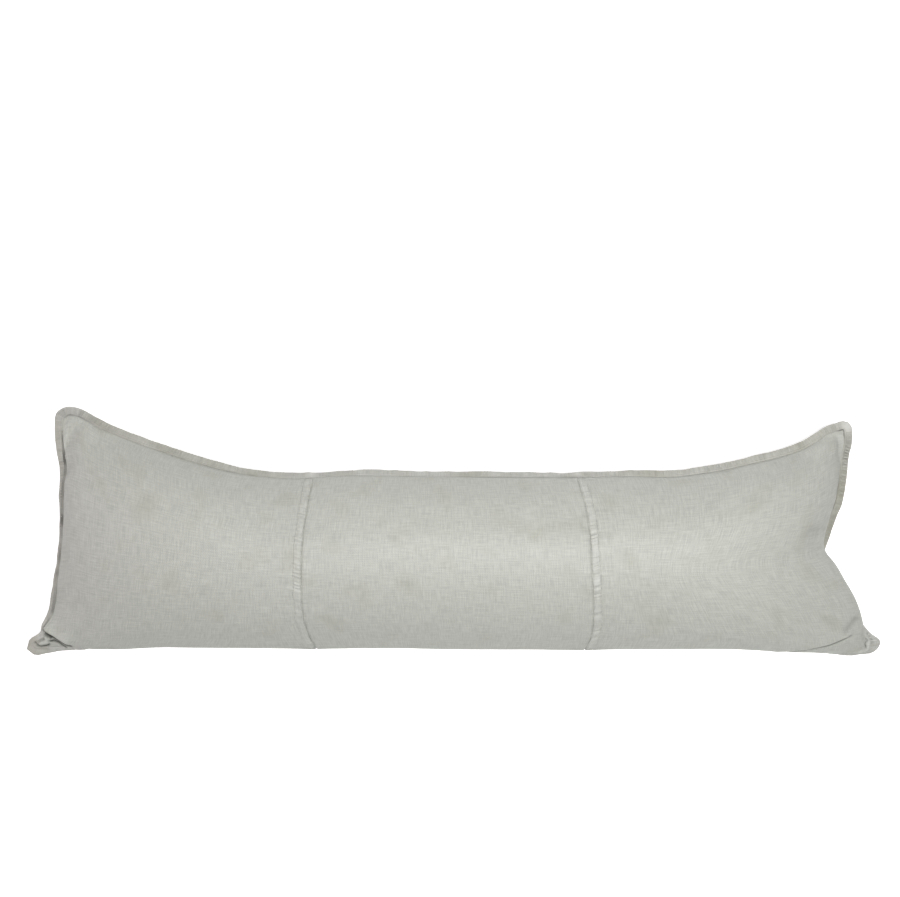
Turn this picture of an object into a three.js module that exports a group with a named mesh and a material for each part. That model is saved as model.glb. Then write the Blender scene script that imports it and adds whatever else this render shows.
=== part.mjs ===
// A long lumbar cushion of washed linen, lying on its back with its face up.
// X runs along the cushion, Y across it towards the sagging edge, and Z up from the surface it lies on.
// The origin is on that surface, under the middle of the cushion. Lengths are in millimetres and angles in
// degrees.
import * as THREE from "three";
import { mergeVertices } from "three/addons/utils/BufferGeometryUtils.js";

// Filled body
const CROWN = 96; // rise of the face above the edge seam
const BACK_DEPTH = 84; // fall of the back below the edge seam, where nothing stops it
const SLACK = 1; // how much flatter the corners are than the sides

// How the fill rounds down to each short end: in which length, and how gently it meets the seam there (1 is
// round and 2 is a wedge).
const LEFT_FILL = { length: 240, wedge: 1.35 };
const RIGHT_FILL = { length: 170, wedge: 1 };

// Felled seams that join the three face panels
const STRAP_WIDTH = 10;
const STRAP_RISE = 1.2;
const STRAP_SHOULDER = 1.5; // width of the step at each edge of a strap
const STRAP_FADE = 0.2; // share of the crown's height in which a strap sinks into the edge seam

// Edge flange of face and back cloth sewn together
const FLANGE_WIDTH = 11.5;
const FLANGE_THICKNESS = 2.4;
const FLANGE_ROOT = 4; // width in which the flange thickens from the seam outwards
const FLANGE_ROUND = 1; // width of its rounded outer edge
const SEAM_GAP = 0.5;

// Steps of the surface
const ROWS = 24; // across the cushion
const END_COLUMNS = 16; // along each rounded end
const OUTER_COLUMNS = 5; // from a rounded end to the felled seam next to it
const MIDDLE_COLUMNS = 11; // between the felled seams

// Edge seam, a table for each side and a row for each place where its course turns: its place (x, y), its
// height (z), how far the flange leans down from level (lean) and how far the face bulges out past the seam.
const SAGGING_EDGE = [
  { x: -547.5, y: 158, z: 62, lean: 0, bulge: 0 },
  { x: -539.5, y: 162, z: 64, lean: 5, bulge: 0 },
  { x: -524, y: 159, z: 66, lean: 16, bulge: 0 },
  { x: -490, y: 141, z: 68, lean: 22, bulge: 0 },
  { x: -411, y: 111.5, z: 73, lean: 25, bulge: 0 },
  { x: -313, y: 82.5, z: 77, lean: 38, bulge: 0 },
  { x: -230, y: 73, z: 79, lean: 45, bulge: 0 },
  { x: -143, y: 77, z: 79.5, lean: 47, bulge: 0 },
  { x: -60, y: 76, z: 80, lean: 48, bulge: 0 },
  { x: 150, y: 73.5, z: 79, lean: 52, bulge: 2 },
  { x: 196, y: 74.5, z: 78.7, lean: 49, bulge: 1 },
  { x: 246, y: 76, z: 78.4, lean: 45, bulge: 0 },
  { x: 300, y: 75, z: 77.5, lean: 40, bulge: 0 },
  { x: 350, y: 80, z: 76, lean: 35, bulge: 0 },
  { x: 403, y: 90, z: 74, lean: 30, bulge: 0 },
  { x: 487, y: 112, z: 69, lean: 26, bulge: 0 },
  { x: 530, y: 136, z: 64, lean: 18, bulge: 0 },
  { x: 549, y: 141, z: 62, lean: 0, bulge: 0 },
];
const STRAIGHT_EDGE = [
  { x: -594, y: -166, z: 42, lean: 5, bulge: 0 },
  { x: -570, y: -167.5, z: 42, lean: 45, bulge: 0 },
  { x: -545, y: -166.5, z: 43, lean: 62, bulge: 6 },
  { x: -500, y: -163.5, z: 45, lean: 60, bulge: 16 },
  { x: -400, y: -156, z: 49, lean: 52, bulge: 14 },
  { x: -200, y: -155, z: 52, lean: 55, bulge: 15 },
  { x: 0, y: -155, z: 53, lean: 55, bulge: 15 },
  { x: 200, y: -155.5, z: 52, lean: 55, bulge: 16 },
  { x: 400, y: -157, z: 49, lean: 52, bulge: 15 },
  { x: 500, y: -167, z: 45, lean: 62, bulge: 13 },
  { x: 545, y: -175, z: 43, lean: 78, bulge: 9 },
  { x: 570, y: -177, z: 42, lean: 75, bulge: 3 },
  { x: 583, y: -176.5, z: 42, lean: 78, bulge: 0 },
];
const LEFT_END = [
  { x: -594, y: -166, z: 42, lean: 5, bulge: 0 },
  { x: -582, y: -153, z: 43, lean: 35, bulge: 0 },
  { x: -574, y: -140, z: 45, lean: 18, bulge: 0 },
  { x: -571, y: -126, z: 47, lean: 40, bulge: 0 },
  { x: -564.5, y: -107, z: 50, lean: 42, bulge: 0 },
  { x: -559, y: -71, z: 56, lean: 45, bulge: 0 },
  { x: -552, y: -35, z: 62, lean: 48, bulge: 0 },
  { x: -547, y: 15, z: 66, lean: 50, bulge: 0 },
  { x: -546, y: 60, z: 67, lean: 40, bulge: 0 },
  { x: -543, y: 82, z: 66, lean: 25, bulge: 0 },
  { x: -546.5, y: 113, z: 64, lean: 8, bulge: 0 },
  { x: -549.5, y: 142, z: 62, lean: 2, bulge: 0 },
  { x: -547.5, y: 158, z: 62, lean: 0, bulge: 0 },
];
const RIGHT_END = [
  { x: 583, y: -176.5, z: 42, lean: 78, bulge: 0 },
  { x: 588.5, y: -169, z: 42, lean: 12, bulge: 0 },
  { x: 588, y: -158, z: 42, lean: 8, bulge: 1 },
  { x: 583, y: -144, z: 42, lean: 45, bulge: 8 },
  { x: 571, y: -128, z: 44, lean: 48, bulge: 20 },
  { x: 552, y: -100, z: 48, lean: 50, bulge: 26 },
  { x: 534, y: -70, z: 53, lean: 50, bulge: 22 },
  { x: 519, y: -42, z: 58, lean: 40, bulge: 20 },
  { x: 516, y: -20, z: 64, lean: 32, bulge: 5 },
  { x: 527, y: 15, z: 66, lean: 24, bulge: 0 },
  { x: 538, y: 50, z: 66, lean: 15, bulge: 0 },
  { x: 546.5, y: 106, z: 63, lean: 8, bulge: 0 },
  { x: 550.5, y: 127, z: 62, lean: 2, bulge: 0 },
  { x: 549, y: 141, z: 62, lean: 0, bulge: 0 },
];

// Tips of the flange, where its square corners reach further out: place on the seam, radius and widening.
const FLANGE_TIPS = [
  { x: 588, y: -162.5, radius: 7, reach: 1.8 },
  { x: 549, y: 141, radius: 6, reach: 1.22 },
  { x: -594, y: -166, radius: 9, reach: 1.2 },
  { x: -547.5, y: 158, radius: 8, reach: 1.15 },
];

// Course of each felled seam's middle line: its x at shares of the way from the straight to the sagging edge.
const LEFT_SEAM = [
  { share: 0, x: -195 },
  { share: 0.09, x: -203 },
  { share: 0.2, x: -207 },
  { share: 0.5, x: -206.5 },
  { share: 0.8, x: -202.5 },
  { share: 1, x: -199.5 },
];
const RIGHT_SEAM = [
  { share: 0, x: 188 },
  { share: 0.09, x: 195 },
  { share: 0.2, x: 194.5 },
  { share: 0.5, x: 189 },
  { share: 0.8, x: 185.5 },
  { share: 1, x: 177 },
];

// Main folds pressed into the face: each runs from one place to another, with its depth and half its width.
const FOLDS = [
  { name: "notch", fromX: 510, fromY: 4, toX: 470, toY: -3, depth: 10, spread: 14 },
  { name: "right corner", fromX: 478, fromY: -168, toX: 566, toY: -144, depth: 7, spread: 9 },
  { name: "left corner", fromX: -578, fromY: -136, toX: -532, toY: -168, depth: 14, spread: 8 },
];
const FOLD_FULL_FILL = 60; // thickness of fill that takes a fold's whole depth

const lerp = THREE.MathUtils.lerp;
const clamp = THREE.MathUtils.clamp;

// Value of one column of a table at a place along it, on a smooth curve through the rows.
function along(table, key, place, column) {
  const at = clamp(place, table[0][key], table[table.length - 1][key]);
  const last = table.length - 1;
  let row = 0;
  while (row < last - 1 && at > table[row + 1][key]) row += 1;
  const slope = (index) => {
    const before = table[Math.max(index - 1, 0)];
    const after = table[Math.min(index + 1, last)];
    return (after[column] - before[column]) / (after[key] - before[key]);
  };
  const start = table[row];
  const end = table[row + 1];
  const span = end[key] - start[key];
  const t = (at - start[key]) / span;
  const t2 = t * t;
  const t3 = t2 * t;
  return (
    start[column] * (2 * t3 - 3 * t2 + 1) +
    end[column] * (3 * t2 - 2 * t3) +
    slope(row) * span * (t3 - 2 * t2 + t) +
    slope(row + 1) * span * (t3 - t2)
  );
}

// Place of a felled seam's middle line at a share of the way from the straight edge to the sagging one.
function seamLine(seam, share) {
  return along(seam, "share", share, "x");
}

// Value of one column of an end's table at a share of the way from the straight edge to the sagging one.
function endValue(table, share, column) {
  const place = lerp(table[0].y, table[table.length - 1].y, share);
  return along(table, "y", place, column);
}

// Columns along the cushion. Each gives its x at a share of the way across, how far the fill has risen there,
// how far the side's bulge has grown, and whether a felled seam's strap lies there.
function makeColumns() {
  const columns = [];
  const endColumn = (table, fill, inward, step) => {
    const angle = (Math.PI / 2) * (step / END_COLUMNS);
    const inset = fill.length * (1 - Math.cos(angle));
    columns.push({
      x: (share) => endValue(table, share, "x") + inward * inset,
      rise: Math.sin(angle) ** fill.wedge,
      girth: Math.sin(angle),
      strap: 0,
    });
  };
  const plainColumn = (x, strap = 0) => columns.push({ x, rise: 1, girth: 1, strap });
  const strapColumns = (seam) => {
    const edge = STRAP_WIDTH / 2;
    const foot = edge + STRAP_SHOULDER;
    plainColumn((share) => seamLine(seam, share) - foot);
    plainColumn((share) => seamLine(seam, share) - edge, 1);
    plainColumn((share) => seamLine(seam, share) + edge, 1);
    plainColumn((share) => seamLine(seam, share) + foot);
  };
  const between = (from, to, count) => {
    for (let step = 1; step < count; step += 1) {
      plainColumn((share) => lerp(from(share), to(share), step / count));
    }
  };
  const foot = STRAP_WIDTH / 2 + STRAP_SHOULDER;
  const leftFill = (share) => endValue(LEFT_END, share, "x") + LEFT_FILL.length;
  const rightFill = (share) => endValue(RIGHT_END, share, "x") - RIGHT_FILL.length;

  for (let step = 0; step <= END_COLUMNS; step += 1) endColumn(LEFT_END, LEFT_FILL, 1, step);
  between(leftFill, (share) => seamLine(LEFT_SEAM, share) - foot, OUTER_COLUMNS);
  strapColumns(LEFT_SEAM);
  between(
    (share) => seamLine(LEFT_SEAM, share) + foot,
    (share) => seamLine(RIGHT_SEAM, share) - foot,
    MIDDLE_COLUMNS,
  );
  strapColumns(RIGHT_SEAM);
  between((share) => seamLine(RIGHT_SEAM, share) + foot, rightFill, OUTER_COLUMNS);
  for (let step = END_COLUMNS; step >= 0; step -= 1) endColumn(RIGHT_END, RIGHT_FILL, -1, step);
  return columns;
}

// How deep the folds press into the face at a place.
function foldDepth(x, y) {
  const place = new THREE.Vector3(x, y, 0);
  const nearest = new THREE.Vector3();
  let depth = 0;
  for (const fold of FOLDS) {
    const from = new THREE.Vector3(fold.fromX, fold.fromY, 0);
    const line = new THREE.Line3(from, new THREE.Vector3(fold.toX, fold.toY, 0));
    line.closestPointToPoint(place, true, nearest);
    depth += fold.depth * Math.exp(-((place.distanceTo(nearest) / fold.spread) ** 2));
  }
  return depth;
}

// A bulge grows quickly from the seam and fades out towards the crown. Its peak, 1, is a third of the way up.
function bulgeShape(height) {
  return (27 / 4) * height * (1 - height) ** 2;
}

// Points of the face, of the back and of the edge seam between them, for one column and one row.
function sectionPoint(column, row) {
  const angle = Math.PI * (row / ROWS - 0.5);
  const share = (1 + Math.sin(angle)) / 2;
  const rise = column.rise;
  const swell = row === 0 || row === ROWS ? 0 : Math.cos(angle);
  const x = column.x(share);
  const straight = (name) => along(STRAIGHT_EDGE, "x", x, name);
  const sagging = (name) => along(SAGGING_EDGE, "x", x, name);
  const y = lerp(straight("y"), sagging("y"), share);
  const endTable = x < 0 ? LEFT_END : RIGHT_END;
  const endPull = (1 - rise) ** 2;
  const seamZ = lerp(lerp(straight("z"), sagging("z"), share), endValue(endTable, share, "z"), endPull);

  const fill = rise ** (1 + SLACK * (1 - swell)) * swell ** (1 + SLACK * (1 - rise));
  const sideBulge = bulgeShape(swell) * column.girth;
  const endBulge = bulgeShape(rise) * swell;
  const outX = Math.sign(x) * endValue(endTable, share, "bulge") * endBulge;
  const outY = (angle < 0 ? -straight("bulge") : sagging("bulge")) * sideBulge;

  const halfWidth = (sagging("y") - straight("y")) / 2;
  const outward = new THREE.Vector3(0, CROWN * Math.sin(angle), halfWidth * Math.cos(angle)).normalize();
  const strap = column.strap * STRAP_RISE * Math.min(1, swell / STRAP_FADE);
  const back = new THREE.Vector3(x, y, Math.max(0, seamZ - BACK_DEPTH * fill));
  const thickness = seamZ + CROWN * fill - back.z;
  const pressed = foldDepth(x, y) * Math.min(1, thickness / FOLD_FULL_FILL);
  const face = new THREE.Vector3(x + outX, y + outY, seamZ + CROWN * fill - pressed);
  face.addScaledVector(outward, strap);
  const onSeam = rise === 0 || swell === 0;
  return { face: onSeam ? new THREE.Vector3(x, y, seamZ) : face, back };
}

// A closed mesh from points and the triangles between them.
function closedGeometry(points, triangles) {
  const geometry = new THREE.BufferGeometry();
  const coordinates = points.flatMap((point) => point.toArray());
  geometry.setAttribute("position", new THREE.Float32BufferAttribute(coordinates, 3));
  geometry.setIndex(triangles);
  return mergeVertices(geometry);
}

function makeBody(columns) {
  const points = [];
  const triangles = [];
  const across = ROWS + 1;
  const backStart = columns.length * across;
  const grid = columns.map((column) => {
    return Array.from({ length: across }, (_, row) => sectionPoint(column, row));
  });
  points.push(...grid.flat().map((point) => point.face));
  points.push(...grid.flat().map((point) => point.back));
  for (let i = 0; i + 1 < columns.length; i += 1) {
    for (let j = 0; j < ROWS; j += 1) {
      const a = i * across + j;
      const b = a + across;
      const c = b + 1;
      const d = a + 1;
      // Diagonals run from the corners towards the middle.
      const rising = i + 1 < columns.length / 2 === j + 1 <= ROWS / 2;
      const cut = rising ? [a, b, c, a, c, d] : [a, b, d, b, c, d];
      triangles.push(...cut);
      triangles.push(...cut.map((corner) => corner + backStart).reverse());
    }
  }
  return { geometry: closedGeometry(points, triangles), grid };
}

// The seam's course once round, anticlockwise seen from above, with the flange's lean at each station.
function seamCourse(grid) {
  const lastColumn = grid.length - 1;
  const shareOf = (row) => (1 + Math.sin(Math.PI * (row / ROWS - 0.5))) / 2;
  const course = [];
  for (let i = 0; i < lastColumn; i += 1) {
    const point = grid[i][0].face;
    course.push({ point, lean: along(STRAIGHT_EDGE, "x", point.x, "lean") });
  }
  for (let j = 0; j < ROWS; j += 1) {
    course.push({ point: grid[lastColumn][j].face, lean: endValue(RIGHT_END, shareOf(j), "lean") });
  }
  for (let i = lastColumn; i > 0; i -= 1) {
    const point = grid[i][ROWS].face;
    course.push({ point, lean: along(SAGGING_EDGE, "x", point.x, "lean") });
  }
  for (let j = ROWS; j > 0; j -= 1) {
    course.push({ point: grid[0][j].face, lean: endValue(LEFT_END, shareOf(j), "lean") });
  }
  return course;
}

// Widening of the flange at a place on the seam.
function flangeReach(point) {
  return FLANGE_TIPS.reduce((reach, tip) => {
    const away = Math.hypot(point.x - tip.x, point.y - tip.y) / tip.radius;
    return reach + (tip.reach - 1) * Math.exp(-away * away);
  }, 1);
}

function makeFlange(grid) {
  const course = seamCourse(grid);
  const half = FLANGE_THICKNESS / 2;
  const profile = [
    { out: SEAM_GAP, up: 0 },
    { out: FLANGE_ROOT, up: -half },
    { out: FLANGE_WIDTH - FLANGE_ROUND, up: -half },
    { out: FLANGE_WIDTH, up: 0 },
    { out: FLANGE_WIDTH - FLANGE_ROUND, up: half },
    { out: FLANGE_ROOT, up: half },
  ];
  const up = new THREE.Vector3(0, 0, 1);
  const points = [];
  const triangles = [];
  course.forEach(({ point, lean }, station) => {
    const before = course[(station + course.length - 1) % course.length].point;
    const after = course[(station + 1) % course.length].point;
    const into = point.clone().sub(before).setZ(0).normalize();
    const outOf = after.clone().sub(point).setZ(0).normalize();
    const reach = flangeReach(point);
    const heading = into.add(outOf).normalize();
    const level = new THREE.Vector3().crossVectors(heading, up);
    const angle = THREE.MathUtils.degToRad(lean);
    const outward = level.clone().multiplyScalar(Math.cos(angle)).addScaledVector(up, -Math.sin(angle));
    const raised = level.clone().multiplyScalar(Math.sin(angle)).addScaledVector(up, Math.cos(angle));
    for (const corner of profile) {
      const place = point.clone().addScaledVector(outward, corner.out * reach);
      points.push(place.addScaledVector(raised, corner.up));
    }
    const sides = profile.length;
    const next = ((station + 1) % course.length) * sides;
    for (let side = 0; side < sides; side += 1) {
      const a = station * sides + side;
      const b = next + side;
      const c = next + ((side + 1) % sides);
      const d = station * sides + ((side + 1) % sides);
      triangles.push(a, b, c, a, c, d);
    }
  });
  return closedGeometry(points, triangles);
}

const linen = new THREE.MeshStandardMaterial({ color: "#bcbdb6", roughness: 0.9, metalness: 0 });
const overlockedLinen = new THREE.MeshStandardMaterial({ color: "#c0bfb5", roughness: 0.95, metalness: 0 });

const { geometry: bodyGeometry, grid } = makeBody(makeColumns());
const filledBody = new THREE.Mesh(bodyGeometry, linen);
filledBody.name = "filled_body";
const edgeFlange = new THREE.Mesh(makeFlange(grid), overlockedLinen);
edgeFlange.name = "edge_flange";

const cushion = new THREE.Group();
cushion.add(filledBody, edgeFlange);

export default cushion;
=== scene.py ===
import math

import bmesh
import bpy
import numpy as np
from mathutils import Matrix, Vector


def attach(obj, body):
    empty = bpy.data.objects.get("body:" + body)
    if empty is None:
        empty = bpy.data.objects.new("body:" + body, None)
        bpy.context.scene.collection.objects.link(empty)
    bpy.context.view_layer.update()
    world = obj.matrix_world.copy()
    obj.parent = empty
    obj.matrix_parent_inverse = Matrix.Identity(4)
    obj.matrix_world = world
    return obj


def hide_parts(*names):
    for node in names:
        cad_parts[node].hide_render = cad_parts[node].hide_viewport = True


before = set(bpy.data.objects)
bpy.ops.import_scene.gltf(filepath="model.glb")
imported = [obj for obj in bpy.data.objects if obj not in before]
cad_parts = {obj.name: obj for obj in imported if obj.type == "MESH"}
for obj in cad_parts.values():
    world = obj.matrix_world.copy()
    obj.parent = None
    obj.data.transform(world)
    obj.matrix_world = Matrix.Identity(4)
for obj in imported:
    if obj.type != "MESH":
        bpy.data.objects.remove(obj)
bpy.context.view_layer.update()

bl_info = {
    "name": "Linen Lumbar Cushion",
    "version": (1, 0, 0),
    "blender": (4, 5, 0),
    "location": "View3D > Sidebar > Cushion",
    "description": "Builds a long filled linen cushion with felled seams and an overlocked flange",
    "category": "Object",
}

MM = 0.001
WELD = 0.01  # points of two edges closer than this, in millimetres, are merged
WHITE = (1.0, 1.0, 1.0)

# Edge seam, a table for each side and a row for each place where its course turns: its place (x, y), its
# height (z), how far the flange leans down from level (lean) and how far the face bulges past the seam.
EDGE_COLUMNS = ("x", "y", "z", "lean", "bulge")
SAGGING_EDGE = np.array((
    (-547.5, 158, 62, 0, 0),
    (-539.5, 162, 64, 5, 0),
    (-524, 159, 66, 16, 0),
    (-490, 141, 68, 22, 0),
    (-411, 111.5, 73, 25, 0),
    (-313, 82.5, 77, 38, 0),
    (-230, 73, 79, 45, 0),
    (-143, 77, 79.5, 47, 0),
    (-60, 76, 80, 48, 0),
    (150, 73.5, 79, 52, 2),
    (196, 74.5, 78.7, 49, 1),
    (246, 76, 78.4, 45, 0),
    (300, 75, 77.5, 40, 0),
    (350, 80, 76, 35, 0),
    (403, 90, 74, 30, 0),
    (487, 112, 69, 26, 0),
    (530, 136, 64, 18, 0),
    (549, 141, 62, 0, 0),
))
STRAIGHT_EDGE = np.array((
    (-594, -166, 42, 5, 0),
    (-570, -167.5, 42, 45, 0),
    (-545, -166.5, 43, 62, 6),
    (-500, -163.5, 45, 60, 16),
    (-400, -156, 49, 52, 14),
    (-200, -155, 52, 55, 15),
    (0, -155, 53, 55, 15),
    (200, -155.5, 52, 55, 16),
    (400, -157, 49, 52, 15),
    (500, -167, 45, 62, 13),
    (545, -175, 43, 78, 9),
    (570, -177, 42, 75, 3),
    (583, -176.5, 42, 78, 0),
))
LEFT_END = np.array((
    (-594, -166, 42, 5, 0),
    (-582, -153, 43, 35, 0),
    (-574, -140, 45, 18, 0),
    (-571, -126, 47, 40, 0),
    (-564.5, -107, 50, 42, 0),
    (-559, -71, 56, 45, 0),
    (-552, -35, 62, 48, 0),
    (-547, 15, 66, 50, 0),
    (-546, 60, 67, 40, 0),
    (-543, 82, 66, 25, 0),
    (-546.5, 113, 64, 8, 0),
    (-549.5, 142, 62, 2, 0),
    (-547.5, 158, 62, 0, 0),
))
RIGHT_END = np.array((
    (583, -176.5, 42, 78, 0),
    (588.5, -169, 42, 12, 0),
    (588, -158, 42, 8, 1),
    (583, -144, 42, 45, 8),
    (571, -128, 44, 48, 20),
    (552, -100, 48, 50, 26),
    (534, -70, 53, 50, 22),
    (519, -42, 58, 40, 20),
    (516, -20, 64, 32, 5),
    (527, 15, 66, 24, 0),
    (538, 50, 66, 15, 0),
    (546.5, 106, 63, 8, 0),
    (550.5, 127, 62, 2, 0),
    (549, 141, 62, 0, 0),
))

# How the fill rounds down to each short end: in which length, and how gently it meets the seam there (1 is
# round and 2 is a wedge).
LEFT_FILL, RIGHT_FILL = {"length": 240, "wedge": 1.35}, {"length": 170, "wedge": 1.0}

# Course of each felled seam's middle line, its x at shares of the way from the straight edge to the sagging
# one, the side of its strap, along X, where shade is painted along the panels' join as a dark line, how dark
# that painted line is at the straight edge, midway and at the sagging edge, how much paler the strap is
# painted, part wear and part painted highlight, and the seeds of its waves.
SEAM_SHARES = np.array((0, 0.09, 0.2, 0.5, 0.8, 1))
FELLED_SEAMS = (
    {"course": np.array((-195, -203, -207, -206.5, -202.5, -199.5)), "join": 1,
     "dark": np.array((1.9, 0.85, 1.0)), "worn": 0.08, "strap_seed": 60, "pucker_seed": 41},
    {"course": np.array((188, 195, 194.5, 189, 185.5, 177)), "join": -1,
     "dark": np.array((1.3, 0.55, 1.7)), "worn": 0.12, "strap_seed": 70, "pucker_seed": 48},
)

# Columns of the cover beside a felled seam, from its middle line towards the join.
STRAP_STEPS = np.array((-22, -17, -13, -10, -7.5, -5.8, -4.6, -2, 2, 4, 5, 5.8, 7, 9, 12, 16, 21))

# Tips of the flange, where its square corners reach further out: place on the seam, radius and widening.
FLANGE_TIPS = ((588, -162.5, 7, 0.8), (549, 141, 6, 0.22), (-594, -166, 9, 0.2), (-547.5, 158, 8, 0.15))

# Creases in the cover. Each follows a course of places (x, y). On its left the cloth swells up to a lip and
# laps over it, and on its right it drops into the crease: depth and half width of the crease, height and
# half width of the lip, how far the lip laps over and how dark the shade painted into the crease is.
CREASES = (
    {"course": (
        (-581, -138), (-577.5, -144), (-571, -148.5), (-558.5, -155), (-549.5, -160), (-538, -166.5)),
     "depth": 5, "width": 2.4, "lip": 8, "lip_width": 16, "lap": 1.0, "shade": 1.0},
    {"course": ((-581, -141), (-578, -146), (-574, -149.5), (-569, -152)),
     "depth": 6, "width": 3, "lip": 0, "lip_width": 4, "lap": 0, "shade": 1.0},
    {"course": ((-576, -157), (-567, -155.8), (-559.6, -159), (-552.5, -164), (-547, -168)),
     "depth": 4, "width": 1.8, "lip": 3, "lip_width": 5, "lap": 1, "shade": 0.9},
    {"course": ((-594, -157.5), (-590, -163), (-586.5, -164.6), (-581, -163.8), (-573, -161.5)),
     "depth": 4, "width": 1.6, "lip": 3, "lip_width": 6, "lap": 0.8, "shade": 0.75},
    {"course": ((-592, -158.5), (-587, -155.5), (-581, -154)),
     "depth": 3, "width": 2, "lip": 1, "lip_width": 4, "lap": 0.5, "shade": 0.4},
    {"course": (
        (440, -169), (466, -167.5), (488, -164.5), (506, -161), (524, -157.5), (544, -150.5),
        (564, -143.5)),
     "depth": 5, "width": 2.2, "lip": 6, "lip_width": 12, "lap": 1.5, "shade": 0.8},
    {"course": ((590, -147), (595, -152), (598.5, -158), (597.5, -167)),
     "depth": 1.5, "width": 1.4, "lip": 1, "lip_width": 3, "lap": 0.4, "shade": 0.6},
    {"course": ((587, -153), (592, -158), (587, -163), (591, -171)),
     "depth": 1.5, "width": 1.4, "lip": 1, "lip_width": 3, "lap": 0.4, "shade": 0.6},
)
CREASE_REACH = 9  # the cover's points lie closer within this distance of a crease
CREASE_START, CREASE_END = 0.1, 0.12  # shares of its course in which a crease comes in and runs out
LIP_FOOT, LIP_TOP = -0.5, 1.5  # where the lip rises, from the course's line
LAP_REACH = 4  # how far from the line the cloth laps over
CLOSE_BACK = (25, 40)  # heights between which the back comes close to the face and takes up its creases

# Places where the face is pulled out of shape: place, radius and move.
PULLS = ((-573, -139, 9, (-6, 0, 4)),)

# Soft dents in the face, from one place to another: depth, half their width and how dark the shade painted
# into them is.
DENTS = (
    {"start": (512, 5), "end": (486, 0), "depth": 7, "spread": 8, "shade": 0.12},
    {"start": (550, -137), "end": (565, -124), "depth": 4, "spread": 5, "shade": 0.2},
    {"start": (-601, -158), "end": (-595, -170), "depth": 1.5, "spread": 3, "shade": 0.12},
    {"start": (-588, -170), "end": (-577, -172), "depth": 1.5, "spread": 3, "shade": 0.14},
    {"start": (-573, -164), "end": (-560, -167), "depth": 1.2, "spread": 2.5, "shade": 0.12},
    {"start": (-588, -150), "end": (-578, -148), "depth": 1.2, "spread": 2.5, "shade": 0.15},
)

# Places on the flange with no overlock bars, and their radius: the tip of a corner, the ends of the felled
# seams, a nick beside the next corner and the crumpled ear.
PLAIN_SPOTS = ((556, 148, 13), (-199.5, 74, 4.5), (177, 74, 4.5), (-528, 162, 3), (-583, -163, 36))

# Look of the flange, each a value and the places, with their radius, where it is more or less: how dark the
# shade painted in the gap beside the edge seam is, how wide it is, how strongly the overlock bars stand out
# (their height and the shade painted between them), how olive the cloth is and how high it is crumpled. The
# last are the places where it is painted paler.
GAP_SHADE, GAP_SPOTS = 0.12, (
    (-545, 98, 30, 1.6), (-548, 25, 34, 0.6), (-552, -50, 40, 0.3), (-535, 158, 28, 0.25),
    (-567, -112, 25, 0.45), (-577, -147, 9, 0.8), (547, 136, 14, 0.7), (530, 20, 60, 0.35),
    (-320, 86, 50, 0.2), (-440, 120, 50, 0.1))
GAP_WIDTH, WIDTH_SPOTS = 1.2, (
    (-545, 92, 26, 1.8), (-567, -112, 25, 1.5), (-546, 55, 25, 2.5), (-548, 10, 35, 6), (-556, -60, 45, 4))
BARS, BAR_SPOTS = 0.28, (
    (546, 85, 55, 0.45), (-150, 76, 70, -0.05), (-300, 85, 90, 0.1), (340, 80, 130, 0.2),
    (-552, 115, 80, 0.25), (-580, -162, 28, -0.35))
OLIVE, OLIVE_SPOTS = 0.12, (
    (-330, 90, 130, 0.33), (-480, 140, 60, 0.15), (-552, 110, 60, 0.3), (24, 76, 25, 0.35),
    (278, 76, 30, 0.4), (400, 88, 90, 0.2), (535, 25, 90, 0.6), (-592, -162, 7, 0.6),
    (-580, -170, 7, 0.4), (-560, -60, 110, 0.3))
CRUMPLES, CRUMPLE_SPOTS = 0.15, ((-585, -163, 24, 1.4), (592, -160, 14, 1.0))
PALER_SPOTS = ((556, 148, 9, 0.7), (-195, 82, 5, 0.6), (173, 82, 5, 0.5), (-585, -160, 30, 0.2))

# Random waves in the sewing and the cloth, each about how far apart its bends lie, in millimetres, and a
# seed. Those of a strap add theirs to the strap's own seed.
FILL_LUMPS, END_GATHERS, FLANGE_CRUMPLES = (70, 5), (15, 83), (8, 17)
STRAP_WAVES = {"edge": (4, 2), "dashes": (3.5, 3), "join": (14, 4), "ladder": (12, 5)}
FLANGE_WAVES = {
    "lean": (28, 11), "ripple": (11, 12), "width": (15, 13), "gap": (8, 14), "shade_between_bars": (25, 15),
    "olive": (30, 16), "threads": (3, 18)}
BAR_SEEDS = {"slant": 21, "start": 22, "length": 23, "depth": 24, "olive": 25}

# Places on the cover's rim, with their radius, that the felled seams draw in: shade is painted there.
RIM_SPOTS = ((-200, -168, 26, 0.38), (186, -168, 26, 0.38))


def hermite(t):
    """Weights of two values and of their slopes, on a smooth curve at a share t of the way between them."""
    return 2 * t**3 - 3 * t**2 + 1, 3 * t**2 - 2 * t**3, t**3 - 2 * t**2 + t, t**3 - t**2


def smooth_curve(keys, values, place):
    """Values at places between keys, on a smooth curve through them."""
    last = len(keys) - 1
    before = np.maximum(np.arange(last + 1) - 1, 0)
    after = np.minimum(np.arange(last + 1) + 1, last)
    slopes = (values[after] - values[before]) / (keys[after] - keys[before])
    at = np.clip(place, keys[0], keys[-1])
    row = np.clip(np.searchsorted(keys, at, side="left") - 1, 0, last - 1)
    span = keys[row + 1] - keys[row]
    start, stop, leave, arrive = hermite((at - keys[row]) / span)
    return (
        values[row] * start + values[row + 1] * stop
        + slopes[row] * span * leave + slopes[row + 1] * span * arrive
    )


def along(table, key, place, column):
    """One column of an edge table at places along it."""
    keys = table[:, EDGE_COLUMNS.index(key)]
    return smooth_curve(keys, table[:, EDGE_COLUMNS.index(column)], place)


def end_value(table, share, column):
    """One column of an end's table at a share of the way from the straight edge to the sagging one."""
    low, high = table[0, 1], table[-1, 1]
    return along(table, "y", low + (high - low) * share, column)


def seam_line(seam, share):
    """Place of a felled seam's middle line at a share of the way across."""
    return smooth_curve(SEAM_SHARES, seam["course"], share)


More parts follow.
